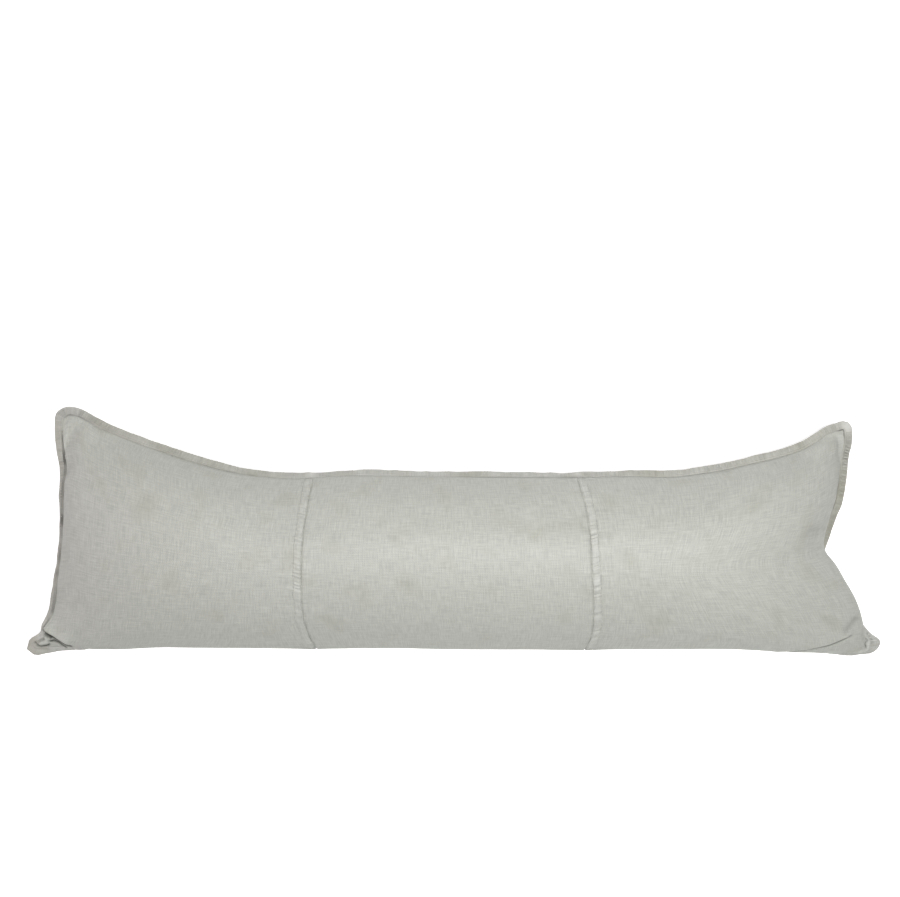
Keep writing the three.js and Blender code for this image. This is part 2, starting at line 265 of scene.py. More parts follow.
def smooth_step(low, high, value):
    """0 below low, 1 above high and smooth between them."""
    t = np.clip((value - low) / (high - low), 0, 1)
    return t * t * (3 - 2 * t)


def uneven(place, pitch, seed):
    """A smooth random wave between -1 and 1 along a line, with about one bend in each pitch."""
    steps = np.asarray(place, float) / pitch
    first = int(np.floor(steps.min())) - 1
    knots = np.random.default_rng(seed).uniform(-1, 1, int(np.ceil(steps.max())) - first + 3)
    cell = np.floor(steps).astype(int)
    t = smooth_step(0, 1, steps - cell)
    return knots[cell - first] * (1 - t) + knots[cell - first + 1] * t


def uneven_field(x, y, pitch, seed):
    """A smooth random surface between about -1 and 1 in a plane: three bent waves that cross."""
    total = np.zeros_like(x)
    for turn in range(3):
        angle = math.radians(60 * turn + 17)
        line = x * math.cos(angle) + y * math.sin(angle)
        cross = y * math.cos(angle) - x * math.sin(angle)
        bend = pitch * 0.6 * uneven(cross, 2 * pitch, seed + 10 * turn + 1)
        total += uneven(line + bend, pitch, seed + 10 * turn)
    return total / 2


def near_spots(places, spots):
    """Sum of round spots at places, each strongest at its place (x, y) and fading within its radius."""
    total = np.zeros(len(places))
    for x, y, radius, strength in spots:
        total += strength * np.exp(-(np.hypot(places[:, 0] - x, places[:, 1] - y) / radius) ** 2)
    return total


def to_linear(code):
    """An sRGB hex colour as linear red, green and blue."""
    parts = [int(code[i:i + 2], 16) / 255 for i in (1, 3, 5)]
    return tuple(c / 12.92 if c <= 0.04045 else ((c + 0.055) / 1.055) ** 2.4 for c in parts)


class CushionForm(bpy.types.PropertyGroup):
    """Sizes of the filled body."""

    crown: bpy.props.FloatProperty(
        name="Crown", description="Rise of the face above the edge seam", default=0.096, unit="LENGTH")
    back_depth: bpy.props.FloatProperty(
        name="Back Depth", description="Fall of the back below the edge seam", default=0.084, unit="LENGTH")
    slack: bpy.props.FloatProperty(
        name="Slack", description="How much flatter the corners are than the sides", default=1.0)
    cloth: bpy.props.FloatProperty(
        name="Cloth", description="Least distance between face and back beside the seam", default=0.0006,
        unit="LENGTH")
    lumps: bpy.props.FloatProperty(
        name="Lumps", description="Height of the fill's unevenness", default=0.0012, unit="LENGTH")
    gathers: bpy.props.FloatProperty(
        name="Gathers", description="Height of the gathers beside the ends' seams", default=0.0012,
        unit="LENGTH")
    pressure: bpy.props.FloatProperty(
        name="Fill Pressure", description="Pressure of the fill on the cover", default=4.0)
    ease: bpy.props.FloatProperty(
        name="Ease", description="Share by which the cloth is longer than the seam that holds it",
        default=0.012, subtype="FACTOR")
    settle_limit: bpy.props.FloatProperty(
        name="Settling Limit", description="Most that a point moves as the fill settles", default=0.005,
        unit="LENGTH")
    rows: bpy.props.IntProperty(name="Rows", description="Rows of the cover across the cushion", default=54)
    end_columns: bpy.props.IntProperty(
        name="End Columns", description="Columns of the cover along each rounded end", default=34)
    outer_columns: bpy.props.IntProperty(
        name="Outer Columns", description="Columns from a rounded end to its felled seam", default=20)
    middle_columns: bpy.props.IntProperty(
        name="Middle Columns", description="Columns between the felled seams", default=38)


class FelledSeamForm(bpy.types.PropertyGroup):
    """Sizes of the felled seams across the face."""

    width: bpy.props.FloatProperty(
        name="Width", description="Width of a strap", default=0.010, unit="LENGTH")
    rise: bpy.props.FloatProperty(
        name="Rise", description="Height of a strap over the face", default=0.0012, unit="LENGTH")
    groove: bpy.props.FloatProperty(
        name="Groove", description="Depth of the join beside a strap", default=0.0012, unit="LENGTH")
    pucker: bpy.props.FloatProperty(
        name="Pucker", description="Height of the puckers that the stitching draws", default=0.0006,
        unit="LENGTH")
    ladder: bpy.props.FloatProperty(
        name="Ladder", description="Step between the puckers across a strap", default=0.0024, unit="LENGTH")
    ladder_rise: bpy.props.FloatProperty(
        name="Ladder Rise", description="Height of the puckers across a strap", default=0.0012,
        unit="LENGTH")
    wrinkle: bpy.props.FloatProperty(
        name="Wrinkle", description="Step between the small wrinkles beside a strap", default=0.0042,
        unit="LENGTH")
    wrinkle_rise: bpy.props.FloatProperty(
        name="Wrinkle Rise", description="Height of the small wrinkles beside a strap", default=0.0009,
        unit="LENGTH")
    row: bpy.props.FloatProperty(
        name="Row", description="Step between points along a strap", default=0.0012, unit="LENGTH")
    stitch: bpy.props.FloatProperty(
        name="Stitch", description="Length of a top stitch", default=0.003, unit="LENGTH")
    stitch_gap: bpy.props.FloatProperty(
        name="Stitch Gap", description="Gap between top stitches", default=0.0009, unit="LENGTH")
    stitch_inset: bpy.props.FloatProperty(
        name="Stitch Inset", description="Distance of a stitch row from the strap's edge", default=0.0016,
        unit="LENGTH")


class FlangeForm(bpy.types.PropertyGroup):
    """Sizes of the overlocked edge flange."""

    width: bpy.props.FloatProperty(
        name="Width", description="Width of the flange past the seam", default=0.0115, unit="LENGTH")
    thickness: bpy.props.FloatProperty(
        name="Thickness", description="Thickness of the doubled cloth", default=0.0024, unit="LENGTH")
    station: bpy.props.FloatProperty(
        name="Station", description="Step along the flange", default=0.002, unit="LENGTH")
    wave: bpy.props.FloatProperty(
        name="Wave", description="How far the flange waves up and down", default=math.radians(7),
        subtype="ANGLE")
    stitch_line: bpy.props.FloatProperty(
        name="Stitch Line", description="Distance of the inner stitch line from the seam", default=0.0034,
        unit="LENGTH")
    bar_pitch: bpy.props.FloatProperty(
        name="Bar Pitch", description="Step between overlock stitches", default=0.0042, unit="LENGTH")


class LinenLook(bpy.types.PropertyGroup):
    """Colours of the cloth and the thread."""

    linen: bpy.props.FloatVectorProperty(
        name="Linen", description="Sage-grey washed linen", default=to_linear("#b5b7af"), subtype="COLOR")
    linen_pale: bpy.props.FloatVectorProperty(
        name="Pale Slub", description="Paler thick threads in the linen", default=to_linear("#c0c2ba"),
        subtype="COLOR")
    linen_deep: bpy.props.FloatVectorProperty(
        name="Deep Slub", description="Darker thin places in the linen", default=to_linear("#a9aba4"),
        subtype="COLOR")
    edge: bpy.props.FloatVectorProperty(
        name="Edge", description="Doubled edge cloth", default=to_linear("#bebfba"), subtype="COLOR")
    edge_deep: bpy.props.FloatVectorProperty(
        name="Deep Edge", description="Darker threads of the edge cloth", default=to_linear("#aaaaa3"),
        subtype="COLOR")
    thread: bpy.props.FloatVectorProperty(
        name="Thread", description="Sewing thread", default=to_linear("#c4c4be"), subtype="COLOR")
    olive: bpy.props.FloatVectorProperty(
        name="Olive", description="Olive cast of the cloth where it has yellowed",
        default=to_linear("#9b9a8b"), subtype="COLOR")
    # Paler cloth where it stands out at seams and tips: wear, and painted highlight on the straps and their
    # ladder crests.
    worn: bpy.props.FloatVectorProperty(
        name="Worn", description="Cloth rubbed pale where it stands out at seams and tips",
        default=to_linear("#d3d4ce"), subtype="COLOR")
    # Painted shade: the crease attribute darkens the cloth towards this colour in folds, grooves, gaps and
    # joins, between the overlock bars and on the drawn-in rim.
    groove: bpy.props.FloatVectorProperty(
        name="Groove", description="Cloth deep in a fold or beside a stitch row",
        default=to_linear("#3c3c36"), subtype="COLOR")
    weave: bpy.props.FloatProperty(
        name="Weave", description="Spacing of the threads as drawn", default=0.0016, unit="LENGTH")


class StageForm(bpy.types.PropertyGroup):
    """Camera, floor and light."""

    eye_x: bpy.props.FloatProperty(
        name="Eye X", description="Place of the camera along the cushion", default=-0.0042, unit="LENGTH")
    eye_y: bpy.props.FloatProperty(
        name="Eye Y", description="Place of the camera across the cushion", default=0.115, unit="LENGTH")
    distance: bpy.props.FloatProperty(
        name="Distance", description="Camera's height over the edge seam", default=1.8, unit="LENGTH")
    seam_height: bpy.props.FloatProperty(
        name="Seam Height", description="Mean height of the edge seam", default=0.065, unit="LENGTH")
    view_width: bpy.props.FloatProperty(
        name="View Width", description="Width of the view at the edge seam", default=1.2645, unit="LENGTH")
    floor: bpy.props.FloatVectorProperty(
        name="Floor", description="White acrylic floor", default=to_linear("#fcfcfb"), subtype="COLOR")
    glow: bpy.props.FloatProperty(
        name="Floor Glow", description="How far the floor glows as the camera sees it", default=0.6)
    bounce: bpy.props.FloatProperty(
        name="Floor Bounce", description="How far the floor's glow lights the cushion's rim", default=0.15)
    key_power: bpy.props.FloatProperty(
        name="Key Light", description="Power of the soft light overhead", default=22.4, unit="POWER")
    left_power: bpy.props.FloatProperty(
        name="Left Light", description="Power of the soft light at the left", default=7.0, unit="POWER")
    right_power: bpy.props.FloatProperty(
        name="Right Light", description="Power of the soft light at the right", default=2.4, unit="POWER")
    top_power: bpy.props.FloatProperty(
        name="Top Light", description="Power of the soft light at the sagging edge", default=6.0,
        unit="POWER")
    fill: bpy.props.FloatVectorProperty(
        name="Fill", description="Colour of the lights at the ends", default=to_linear("#fff0fa"),
        subtype="COLOR")
    sky: bpy.props.FloatProperty(
        name="Surround", description="Strength of the white surround", default=0.16)
    backdrop: bpy.props.FloatProperty(
        name="Backdrop", description="How bright the surround looks behind the floor", default=0.8)


def new_object(name, bm, material):
    """A shown object at the origin from a bmesh, with smooth faces and one material."""
    mesh = bpy.data.meshes.new(name)
    bm.to_mesh(mesh)
    bm.free()
    mesh.materials.append(material)
    mesh.polygons.foreach_set("use_smooth", [True] * len(mesh.polygons))
    piece = bpy.data.objects.new(name, mesh)
    bpy.context.scene.collection.objects.link(piece)
    return piece


def add_cloth(bm, points, cloth, flip=False):
    """Lays a grid of cloth through an array of points, with its cloth coordinates as a UV map, in metres.
    Returns each vertex's place in the array."""
    across, up = points.shape[:2]
    uv_layer = bm.loops.layers.uv.verify()
    made = bmesh.ops.create_grid(bm, x_segments=across - 1, y_segments=up - 1, size=1)
    place = {}
    for vert in made["verts"]:
        i = round((vert.co.x + 1) / 2 * (across - 1))
        j = round((vert.co.y + 1) / 2 * (up - 1))
        place[vert] = (i, j)
        vert.co = points[i, j]
    faces = {face for vert in made["verts"] for face in vert.link_faces}
    for face in faces:
        for loop in face.loops:
            loop[uv_layer].uv = cloth[place[loop.vert]]
    if flip:
        bmesh.ops.reverse_faces(bm, faces=list(faces))
    return place


def read_points(mesh):
    """The mesh's points and normals as arrays, in millimetres and unit lengths."""
    points = np.empty(len(mesh.vertices) * 3)
    normals = np.empty(len(mesh.vertices) * 3)
    mesh.vertices.foreach_get("co", points)
    mesh.vertices.foreach_get("normal", normals)
    return points.reshape(-1, 3) / MM, normals.reshape(-1, 3)


def write_points(mesh, points):
    """Moves the mesh's points to an array of places in millimetres."""
    mesh.vertices.foreach_set("co", (points * MM).ravel())
    mesh.update()


def read_cloth(mesh):
    """Each point's cloth coordinates in millimetres. A point on the edge seam keeps those of one side."""
    owner = np.empty(len(mesh.loops), int)
    flat = np.empty(len(mesh.loops) * 2)
    mesh.loops.foreach_get("vertex_index", owner)
    mesh.uv_layers[0].data.foreach_get("uv", flat)
    cloth = np.zeros((len(mesh.vertices), 2))
    cloth[owner] = flat.reshape(-1, 2) / MM
    return cloth


def add_node(tree, kind, inputs=None, **settings):
    """Adds a node with its settings. Inputs are values or the sockets that feed them, by name, or by number
    where a node has several of one name."""
    made = tree.nodes.new(kind)
    for name, value in settings.items():
        setattr(made, name, value)
    for name, value in (inputs or {}).items():
        if isinstance(value, bpy.types.NodeSocket):
            tree.links.new(value, made.inputs[name])
        else:
            made.inputs[name].default_value = value
    return made


def new_material(name):
    """An empty material, its node tree and its surface shader."""
    material = bpy.data.materials.new(name)
    material.use_nodes = True
    tree = material.node_tree
    tree.nodes.clear()
    shader = add_node(tree, "ShaderNodeBsdfPrincipled")
    output = add_node(tree, "ShaderNodeOutputMaterial")
    tree.links.new(shader.outputs["BSDF"], output.inputs["Surface"])
    return material, tree, shader


def opaque(colour):
    """A colour property with full alpha, as colour sockets take it."""
    return (*colour, 1)


# Slubs of the linen, thick and thin places in its yarn, as drawn: width and length in millimetres, and how
# strong they are. They run along the warp and along the weft, and the last two are knots and soft mottles.
SLUBS = ((1.4, 20, 0.7), (24, 1.4, 0.6), (1.3, 1.6, 0.35), (7, 6, 0.12))
PATCH, STAIN = 90, 45  # size of the washed patches and of the yellowed ones, in millimetres


def linen_material(name, base, pale, deep, look):
    """Linen in plain weave. Uneven flax threads give short, faint paler and darker streaks both ways."""
    material, tree, shader = new_material(name)
    cloth = add_node(tree, "ShaderNodeUVMap", uv_map="cloth").outputs["UV"]
    slub = 0.0
    for width, length, weight in SLUBS:
        stretched = add_node(
            tree, "ShaderNodeMapping", {"Vector": cloth, "Scale": (1 / (width * MM), 1 / (length * MM), 1)})
        streak = add_node(tree, "ShaderNodeTexNoise", {
            "Vector": stretched.outputs["Vector"], "Scale": 1.0, "Detail": 2.0}, noise_dimensions="2D")
        lean = add_node(tree, "ShaderNodeMath", {
            0: streak.outputs["Fac"], 1: weight, 2: -weight / 2}, operation="MULTIPLY_ADD").outputs[0]
        slub = add_node(tree, "ShaderNodeMath", {0: slub, 1: lean}, operation="ADD").outputs[0]

    # Washing leaves soft patches, a hand wide, a little paler or deeper than the rest.
    patch = add_node(
        tree, "ShaderNodeTexNoise", {"Vector": cloth, "Scale": 1 / (PATCH * MM), "Detail": 2.0},
        noise_dimensions="2D").outputs["Fac"]
    patched = add_node(
        tree, "ShaderNodeMath", {0: patch, 1: 0.1, 2: slub}, operation="MULTIPLY_ADD").outputs[0]
    tone = add_node(tree, "ShaderNodeMapRange", {
        "Value": patched, "From Min": -0.2, "From Max": 0.3, "To Min": 0.0, "To Max": 1.0})
    ramp = add_node(tree, "ShaderNodeValToRGB", {"Fac": tone.outputs["Result"]})
    ramp.color_ramp.elements[0].color = opaque(deep)
    ramp.color_ramp.elements[1].color = opaque(pale)
    middle = ramp.color_ramp.elements.new(0.5)
    middle.color = opaque(base)

    # A few patches, and the places that the attribute marks, have yellowed to a faint olive. The cloth is
    # painted paler where it stands out, part wear and part painted highlight, and the crease attribute mixes
    # painted shade into folds, grooves, gaps and joins.
    stain = add_node(
        tree, "ShaderNodeTexNoise", {"Vector": cloth, "Scale": 1 / (STAIN * MM), "Detail": 3.0},
        noise_dimensions="2D").outputs["Fac"]
    yellowed = add_node(tree, "ShaderNodeMapRange", {
        "Value": stain, "From Min": 0.56, "From Max": 0.8, "To Min": 0.0, "To Max": 0.3}).outputs["Result"]
    marked, worn, crease = (
        add_node(tree, "ShaderNodeAttribute", attribute_name=mark).outputs["Fac"]
        for mark in ("olive", "worn", "crease"))
    olive = add_node(
        tree, "ShaderNodeMath", {0: yellowed, 1: marked}, operation="ADD", use_clamp=True).outputs[0]
    colour = ramp.outputs["Color"]
    for amount, tint in ((olive, look.olive), (worn, look.worn), (crease, look.groove)):
        mix = add_node(tree, "ShaderNodeMix", {0: amount, 6: colour, 7: opaque(tint)}, data_type="RGBA")
        colour = mix.outputs[2]
    tree.links.new(colour, shader.inputs["Base Color"])

    # Plain weave: threads over and under by turns. Real threads are about 0.6 mm apart, which is finer than
    # the picture, so they are drawn wider here.
    split = add_node(tree, "ShaderNodeSeparateXYZ", {"Vector": cloth})
    waves = []
    for axis in ("X", "Y"):
        phase = add_node(tree, "ShaderNodeMath", {
            0: split.outputs[axis], 1: math.pi / look.weave}, operation="MULTIPLY").outputs[0]
        waves.append(add_node(tree, "ShaderNodeMath", {0: phase}, operation="SINE").outputs[0])
    woven = add_node(tree, "ShaderNodeMath", {0: waves[0], 1: waves[1]}, operation="MULTIPLY").outputs[0]
    height = add_node(
        tree, "ShaderNodeMath", {0: slub, 1: 4.0, 2: woven}, operation="MULTIPLY_ADD").outputs[0]
    bump = add_node(tree, "ShaderNodeBump", {"Height": height, "Strength": 0.4, "Distance": 0.12 * MM})
    tree.links.new(bump.outputs["Normal"], shader.inputs["Normal"])
    shader.inputs["Roughness"].default_value = 0.55
    shader.inputs["Specular IOR Level"].default_value = 0.32
    shader.inputs["Sheen Weight"].default_value = 0.1
    shader.inputs["Sheen Roughness"].default_value = 0.5
    return material


THREAD_MOTTLE = 3  # size of the paler and darker places in the thread, in millimetres


def thread_material(look):
    """Spun sewing thread, matt. Its uneven fibres give it small paler and darker places."""
    material, tree, shader = new_material("Spun_sewing_thread")
    place = add_node(tree, "ShaderNodeTexCoord").outputs["Object"]
    mottle = add_node(tree, "ShaderNodeTexNoise", {
        "Vector": place, "Scale": 1 / (THREAD_MOTTLE * MM), "Detail": 2.0}).outputs["Fac"]
    ramp = add_node(tree, "ShaderNodeValToRGB", {"Fac": mottle})
    ramp.color_ramp.elements[0].color = opaque(look.edge_deep)
    ramp.color_ramp.elements[1].color = opaque(look.thread)
    ramp.color_ramp.elements[0].position = 0.2
    ramp.color_ramp.elements[1].position = 0.6
    marked = add_node(tree, "ShaderNodeAttribute", attribute_name="olive").outputs["Fac"]
    mix = add_node(tree, "ShaderNodeMix", {
        0: marked, 6: ramp.outputs["Color"], 7: opaque(look.olive)}, data_type="RGBA")
    tree.links.new(mix.outputs[2], shader.inputs["Base Color"])
    shader.inputs["Roughness"].default_value = 0.85
    shader.inputs["Specular IOR Level"].default_value = 0.2
    return material


def cover_columns(form):
    """Place of each column of the cover at every row, how far the fill and the bulge have risen there, and
    the angle and share of the way across of each row."""
    angle = np.linspace(-math.pi / 2, math.pi / 2, form.rows + 1)
    share = (1 + np.sin(angle)) / 2
    left, right = FELLED_SEAMS
    turns = np.linspace(0, math.pi / 2, form.end_columns + 1)

    def end_columns(edge, inward, fill):
        inset = inward * fill["length"] * (1 - np.cos(turns))
        girth = np.sin(turns)
        return list(zip(edge + inset[:, None], girth ** fill["wedge"], girth))

    def strap(seam):
        return [seam_line(seam, share) + step for step in sorted(STRAP_STEPS * seam["join"])]

    def between(start, stop, count):
        return [start + (stop - start) * step / count for step in range(1, count)]

    left_edge = end_value(LEFT_END, share, "x")
    right_edge = end_value(RIGHT_END, share, "x")
    left_strap, right_strap = strap(left), strap(right)
    plain = between(left_edge + LEFT_FILL["length"], left_strap[0], form.outer_columns)
    plain += left_strap
    plain += between(left_strap[-1], right_strap[0], form.middle_columns)
    plain += right_strap
    plain += between(right_strap[-1], right_edge - RIGHT_FILL["length"], form.outer_columns)
    columns = end_columns(left_edge, 1, LEFT_FILL)
    columns += [(x, 1.0, 1.0) for x in plain]
    columns += end_columns(right_edge, -1, RIGHT_FILL)[::-1]
    x, rise, girth = (np.array(values) for values in zip(*columns))
    return x, rise, girth, angle, share


def bulge_shape(height):
    """A bulge grows quickly from the seam and fades towards the crown. Its peak is a third of the way up."""
    return 27 / 4 * height * (1 - height) ** 2


RIM_SHARE = 0.02  # share of the rise in which the face parts from the back, beside the seam
FLOOR_ROUNDING = 3.0  # how the back rounds off to the floor, in millimetres
ROUNDING_SHARE = 0.2  # share of the fill in which that rounding grows


def cover_points(form):
    """Points of the face and of the back, each an array of columns by rows, in millimetres."""
    x, rise, girth, angle, share = cover_columns(form)
    crown, depth = form.crown / MM, form.back_depth / MM
    rise, girth = rise[:, None], girth[:, None]
    swell = np.cos(angle)[None, :]
    swell[:, [0, -1]] = 0
    straight = {name: along(STRAIGHT_EDGE, "x", x, name) for name in EDGE_COLUMNS}
    sagging = {name: along(SAGGING_EDGE, "x", x, name) for name in EDGE_COLUMNS}
    end = {
        name: np.where(x < 0, end_value(LEFT_END, share, name), end_value(RIGHT_END, share, name))
        for name in EDGE_COLUMNS
    }
    y = straight["y"] + (sagging["y"] - straight["y"]) * share
    seam_z = straight["z"] + (sagging["z"] - straight["z"]) * share
    seam_z = seam_z + (end["z"] - seam_z) * (1 - rise) ** 2
    fill = rise ** (1 + form.slack * (1 - swell)) * swell ** (1 + form.slack * (1 - rise))
    inside = (1 - np.exp(-rise / RIM_SHARE)) * (1 - np.exp(-swell / RIM_SHARE))
    out_x = np.sign(x) * end["bulge"] * bulge_shape(rise) * swell
    out_y = np.where(angle < 0, -straight["bulge"], sagging["bulge"]) * bulge_shape(swell) * girth
    face = np.stack([x + out_x, y + out_y, seam_z + crown * fill + form.cloth / MM * inside], axis=-1)
    fall = seam_z - depth * fill
    round_off = FLOOR_ROUNDING * smooth_step(0, ROUNDING_SHARE, fill)
    flat = (fall + np.sqrt(fall**2 + round_off**2)) / 2
    back = np.stack([x, y, np.where(fill > 0, flat, fall)], axis=-1)
    return face, back


def cloth_coordinates(face):
    """Flat cloth coordinates of columns and rows, measured along the crown and along a middle column."""
    columns, rows = face.shape[:2]
    run = np.linalg.norm(np.diff(face[:, rows // 2], axis=0), axis=1)
    rise = np.linalg.norm(np.diff(face[columns // 2], axis=0), axis=1)
    along_cloth = np.concatenate([[0], np.cumsum(run)])
    across_cloth = np.concatenate([[0], np.cumsum(rise)])
    along_cloth -= np.interp(0, face[:, rows // 2, 0], along_cloth)
    across_cloth -= across_cloth[-1] / 2
    return np.stack(np.meshgrid(along_cloth, across_cloth, indexing="ij"), axis=-1)


def seam_places(face, cloth):
    """Each felled seam and the cloth coordinate of its middle line."""
    row = face.shape[1] // 2
    middles = [np.interp(seam_line(seam, 0.5), face[:, row, 0], cloth[:, row, 0]) for seam in FELLED_SEAMS]
    return list(zip(FELLED_SEAMS, middles))


BACK_OFFSET = 1000  # the back's cloth coordinates lie this far from the face's, in millimetres
FLOOR_CONTACT = 1.5  # the back rests on the floor where it is lower than this, in millimetres
SETTLING_FRAMES = 20
LINEN_CLOTH = {
    "quality": 6, "mass": 0.3, "tension_stiffness": 25, "compression_stiffness": 25, "shear_stiffness": 8,
    "bending_stiffness": 1.5, "use_pressure": True}


def settle(piece, form):
    """Lets the fill press the cover out between its seams and the floor. Each point's move is capped, and
    the cushion keeps its outline seen from above."""
    mesh = piece.data
    start, normals = read_points(mesh)
    held = piece.vertex_groups.new(name="held")
    seam = [v for e in mesh.edges if e.use_edge_sharp for v in e.vertices]
    floor = np.nonzero(start[:, 2] < FLOOR_CONTACT)[0]
    held.add([int(v) for v in {*seam, *floor}], 1.0, "REPLACE")
    modifier = piece.modifiers.new("Fill", "CLOTH")
    settings = modifier.settings
    for name, value in LINEN_CLOTH.items():
        setattr(settings, name, value)
    settings.uniform_pressure_force = form.pressure
    settings.vertex_group_mass = held.name
    settings.shrink_min = -form.ease
    settings.effector_weights.gravity = 0
    modifier.collision_settings.use_collision = False
    scene = bpy.context.scene
    for frame_number in range(1, SETTLING_FRAMES + 1):
        scene.frame_set(frame_number)
    settled = piece.evaluated_get(bpy.context.evaluated_depsgraph_get())
    moved = read_points(settled.to_mesh())[0] - start
    settled.to_mesh_clear()
    piece.modifiers.remove(modifier)
    piece.vertex_groups.remove(held)
    scene.frame_set(1)
    length = np.linalg.norm(moved, axis=1)
    limit = form.settle_limit / MM
    capped = limit * np.tanh(length / limit)
    moved *= (capped / np.maximum(length, 1e-9))[:, None]
    upright = smooth_step(0.0, 0.6, np.abs(normals[:, 2]))
    settled_points = start + moved * upright[:, None]
    settled_points[:, 2] = np.maximum(settled_points[:, 2], 0)
    write_points(mesh, settled_points)


def refine(piece):
    """One level of subdivision, applied. The edge seam stays sharp and the cloth coordinates straight."""
    modifier = piece.modifiers.new("Fine cloth", "SUBSURF")
    modifier.levels = 1
    modifier.render_levels = 1
    modifier.uv_smooth = "NONE"
    evaluated = piece.evaluated_get(bpy.context.evaluated_depsgraph_get())
    fine = bpy.data.meshes.new_from_object(evaluated)
    piece.modifiers.remove(modifier)
    old = piece.data
    piece.data = fine
    fine.name = old.name + "_fine"
    bpy.data.meshes.remove(old)


def refine_creases(piece):
    """Sets the face's points closer together beside the creases."""
    mesh = piece.data
    points = read_points(mesh)[0]
    held = crease_hold(points, read_cloth(mesh)[:, 1] < BACK_OFFSET / 2) > 0
    close = np.zeros(len(points), bool)
    for crease in CREASES:
        close |= held & (course_distance(points, crease["course"])[0] < CREASE_REACH)
    bm = bmesh.new()
    bm.from_mesh(mesh)
    edges = [edge for edge in bm.edges if all(close[vert.index] for vert in edge.verts)]
    bmesh.ops.subdivide_edges(bm, edges=edges, cuts=2, use_grid_fill=True)
    bm.to_mesh(mesh)
    bm.free()


# Cloth beside the seams, in millimetres: how far from the cover's edge its relief and its lumps fade in, how
# far the puckers reach from a strap and how far apart they are, the place past the strap's edge and half the
# width of the join's valley, and the gathers' distance from an end's seam and half their length.
SEAM_FADE, LUMP_FADE = 25, 30
PUCKER_REACH, PUCKER_STEP = 14, 15
VALLEY_PLACE, VALLEY_WIDTH = 0.6, 1.2
GATHER_INSET, GATHER_REACH = 9, 8


def seam_relief(cloth, edge, seams, felled):
    """Height of the face beside the felled seams."""
    half = felled.width / MM / 2
    v = cloth[:, 1]
    fade = np.clip((edge - np.abs(v)) / SEAM_FADE, 0, 1)
    height = np.zeros(len(cloth))
    for seam, middle in seams:
        d = (cloth[:, 0] - middle) * seam["join"]
        beside = np.exp(-((np.maximum(np.abs(d) - half, 0) / PUCKER_REACH) ** 2))
        valley = np.exp(-(((d - half - VALLEY_PLACE) / VALLEY_WIDTH) ** 2))
        puckers = uneven(v, PUCKER_STEP, seam["pucker_seed"]) * beside
        height += fade * (felled.pucker / MM * puckers - felled.groove / MM * valley)
    return height


def rim_shade(points, normals):
    """Shade painted on the cover's rim where the felled seams draw it in."""
    near = near_spots(points.reshape(-1, 3), RIM_SPOTS).reshape(points.shape[:-1])
    return near * (1 - smooth_step(0.3, 0.65, normals[..., 2]))


def gather_relief(cloth, form):
    """Height of the gathers in the cloth beside the seams of the two ends. Each end has its own stretch of
    the random wave."""
    inset = np.max(np.abs(cloth[:, 0])) - np.abs(cloth[:, 0])
    stretch = 500 * np.sign(cloth[:, 0])
    wave = uneven(cloth[:, 1] + stretch, *END_GATHERS)
    return form.gathers / MM * wave * np.exp(-(((inset - GATHER_INSET) / GATHER_REACH) ** 2))


def course_distance(points, course):
    """Distance of points from a course in plan, the side they lie on (left is positive), their share of it
    and the direction to its left."""
    best = np.full(len(points), np.inf)
    side = np.zeros(len(points))
    share = np.zeros(len(points))
    away = np.zeros((len(points), 2))
    course = np.array(course, float)
    for number, (start, end) in enumerate(zip(course[:-1], course[1:])):
        run = end - start
        t = np.clip(((points[:, :2] - start) @ run) / (run @ run), 0, 1)
        offset = points[:, :2] - start - t[:, None] * run
        distance = np.linalg.norm(offset, axis=1)
        nearer = distance < best
        best[nearer] = distance[nearer]
        cross = run[0] * offset[:, 1] - run[1] * offset[:, 0]
        side[nearer] = np.sign(cross[nearer])
        share[nearer] = (number + t[nearer]) / (len(course) - 1)
        away[nearer] = np.array((-run[1], run[0])) / np.linalg.norm(run)
    return best, side, share, away


def crease_hold(points, faces_up):
    """How far each point follows the creases: the face all the way, and the back where it is close by."""
    return np.where(faces_up, 1.0, smooth_step(*CLOSE_BACK, points[:, 2]))


def press_creases(points, hold):
    """Presses the creases and dents into the points, as far as each follows them (hold), and returns the
    shade painted at each point there."""
    shade = np.zeros(len(points))
    for x, y, radius, move in PULLS:
        near = hold * near_spots(points, ((x, y, radius, 1),))
        points += near[:, None] * np.array(move)
    for crease in CREASES:
        distance, side, share, left = course_distance(points, crease["course"])
        s = distance * side
        taper = smooth_step(0, CREASE_START, share) * smooth_step(0, CREASE_END, 1 - share) * hold
        middle = s + crease["lap"] + crease["width"] / 2
        dip = np.exp(-((middle / crease["width"]) ** 2))
        swell = smooth_step(LIP_FOOT, LIP_TOP, s) * np.exp(-np.maximum(s, 0) / crease["lip_width"])
        points[:, 2] += taper * (crease["lip"] * swell - crease["depth"] * dip)
        lap = crease["lap"] * taper * np.where(s > LIP_FOOT, np.exp(-np.abs(s) / LAP_REACH), 0)
        points[:, :2] -= left * lap[:, None]
        # Painted shade in the crease, darkest along its middle.
        dark = crease["shade"] * taper * np.exp(-((1.2 * middle / crease["width"]) ** 2))
        shade = np.maximum(shade, dark)
    for dent in DENTS:
        distance = course_distance(points, (dent["start"], dent["end"]))[0]
        dip = hold * np.exp(-((distance / dent["spread"]) ** 2))
        points[:, 2] -= dent["depth"] * dip
        # Painted shade in the dent.
        shade = np.maximum(shade, dent["shade"] * dip)
    return shade


def set_painted_shade(mesh, shade):
    """Keeps the shade painted at each point in creases and grooves, for the material, over any painted shade
    it has.
    """
    layer = mesh.attributes.get("crease")
    if layer is None:
        layer = mesh.attributes.new("crease", "FLOAT", "POINT")
    before = np.zeros(len(mesh.vertices))
    layer.data.foreach_get("value", before)
    layer.data.foreach_set("value", np.clip(np.maximum(before, shade), 0, 1))


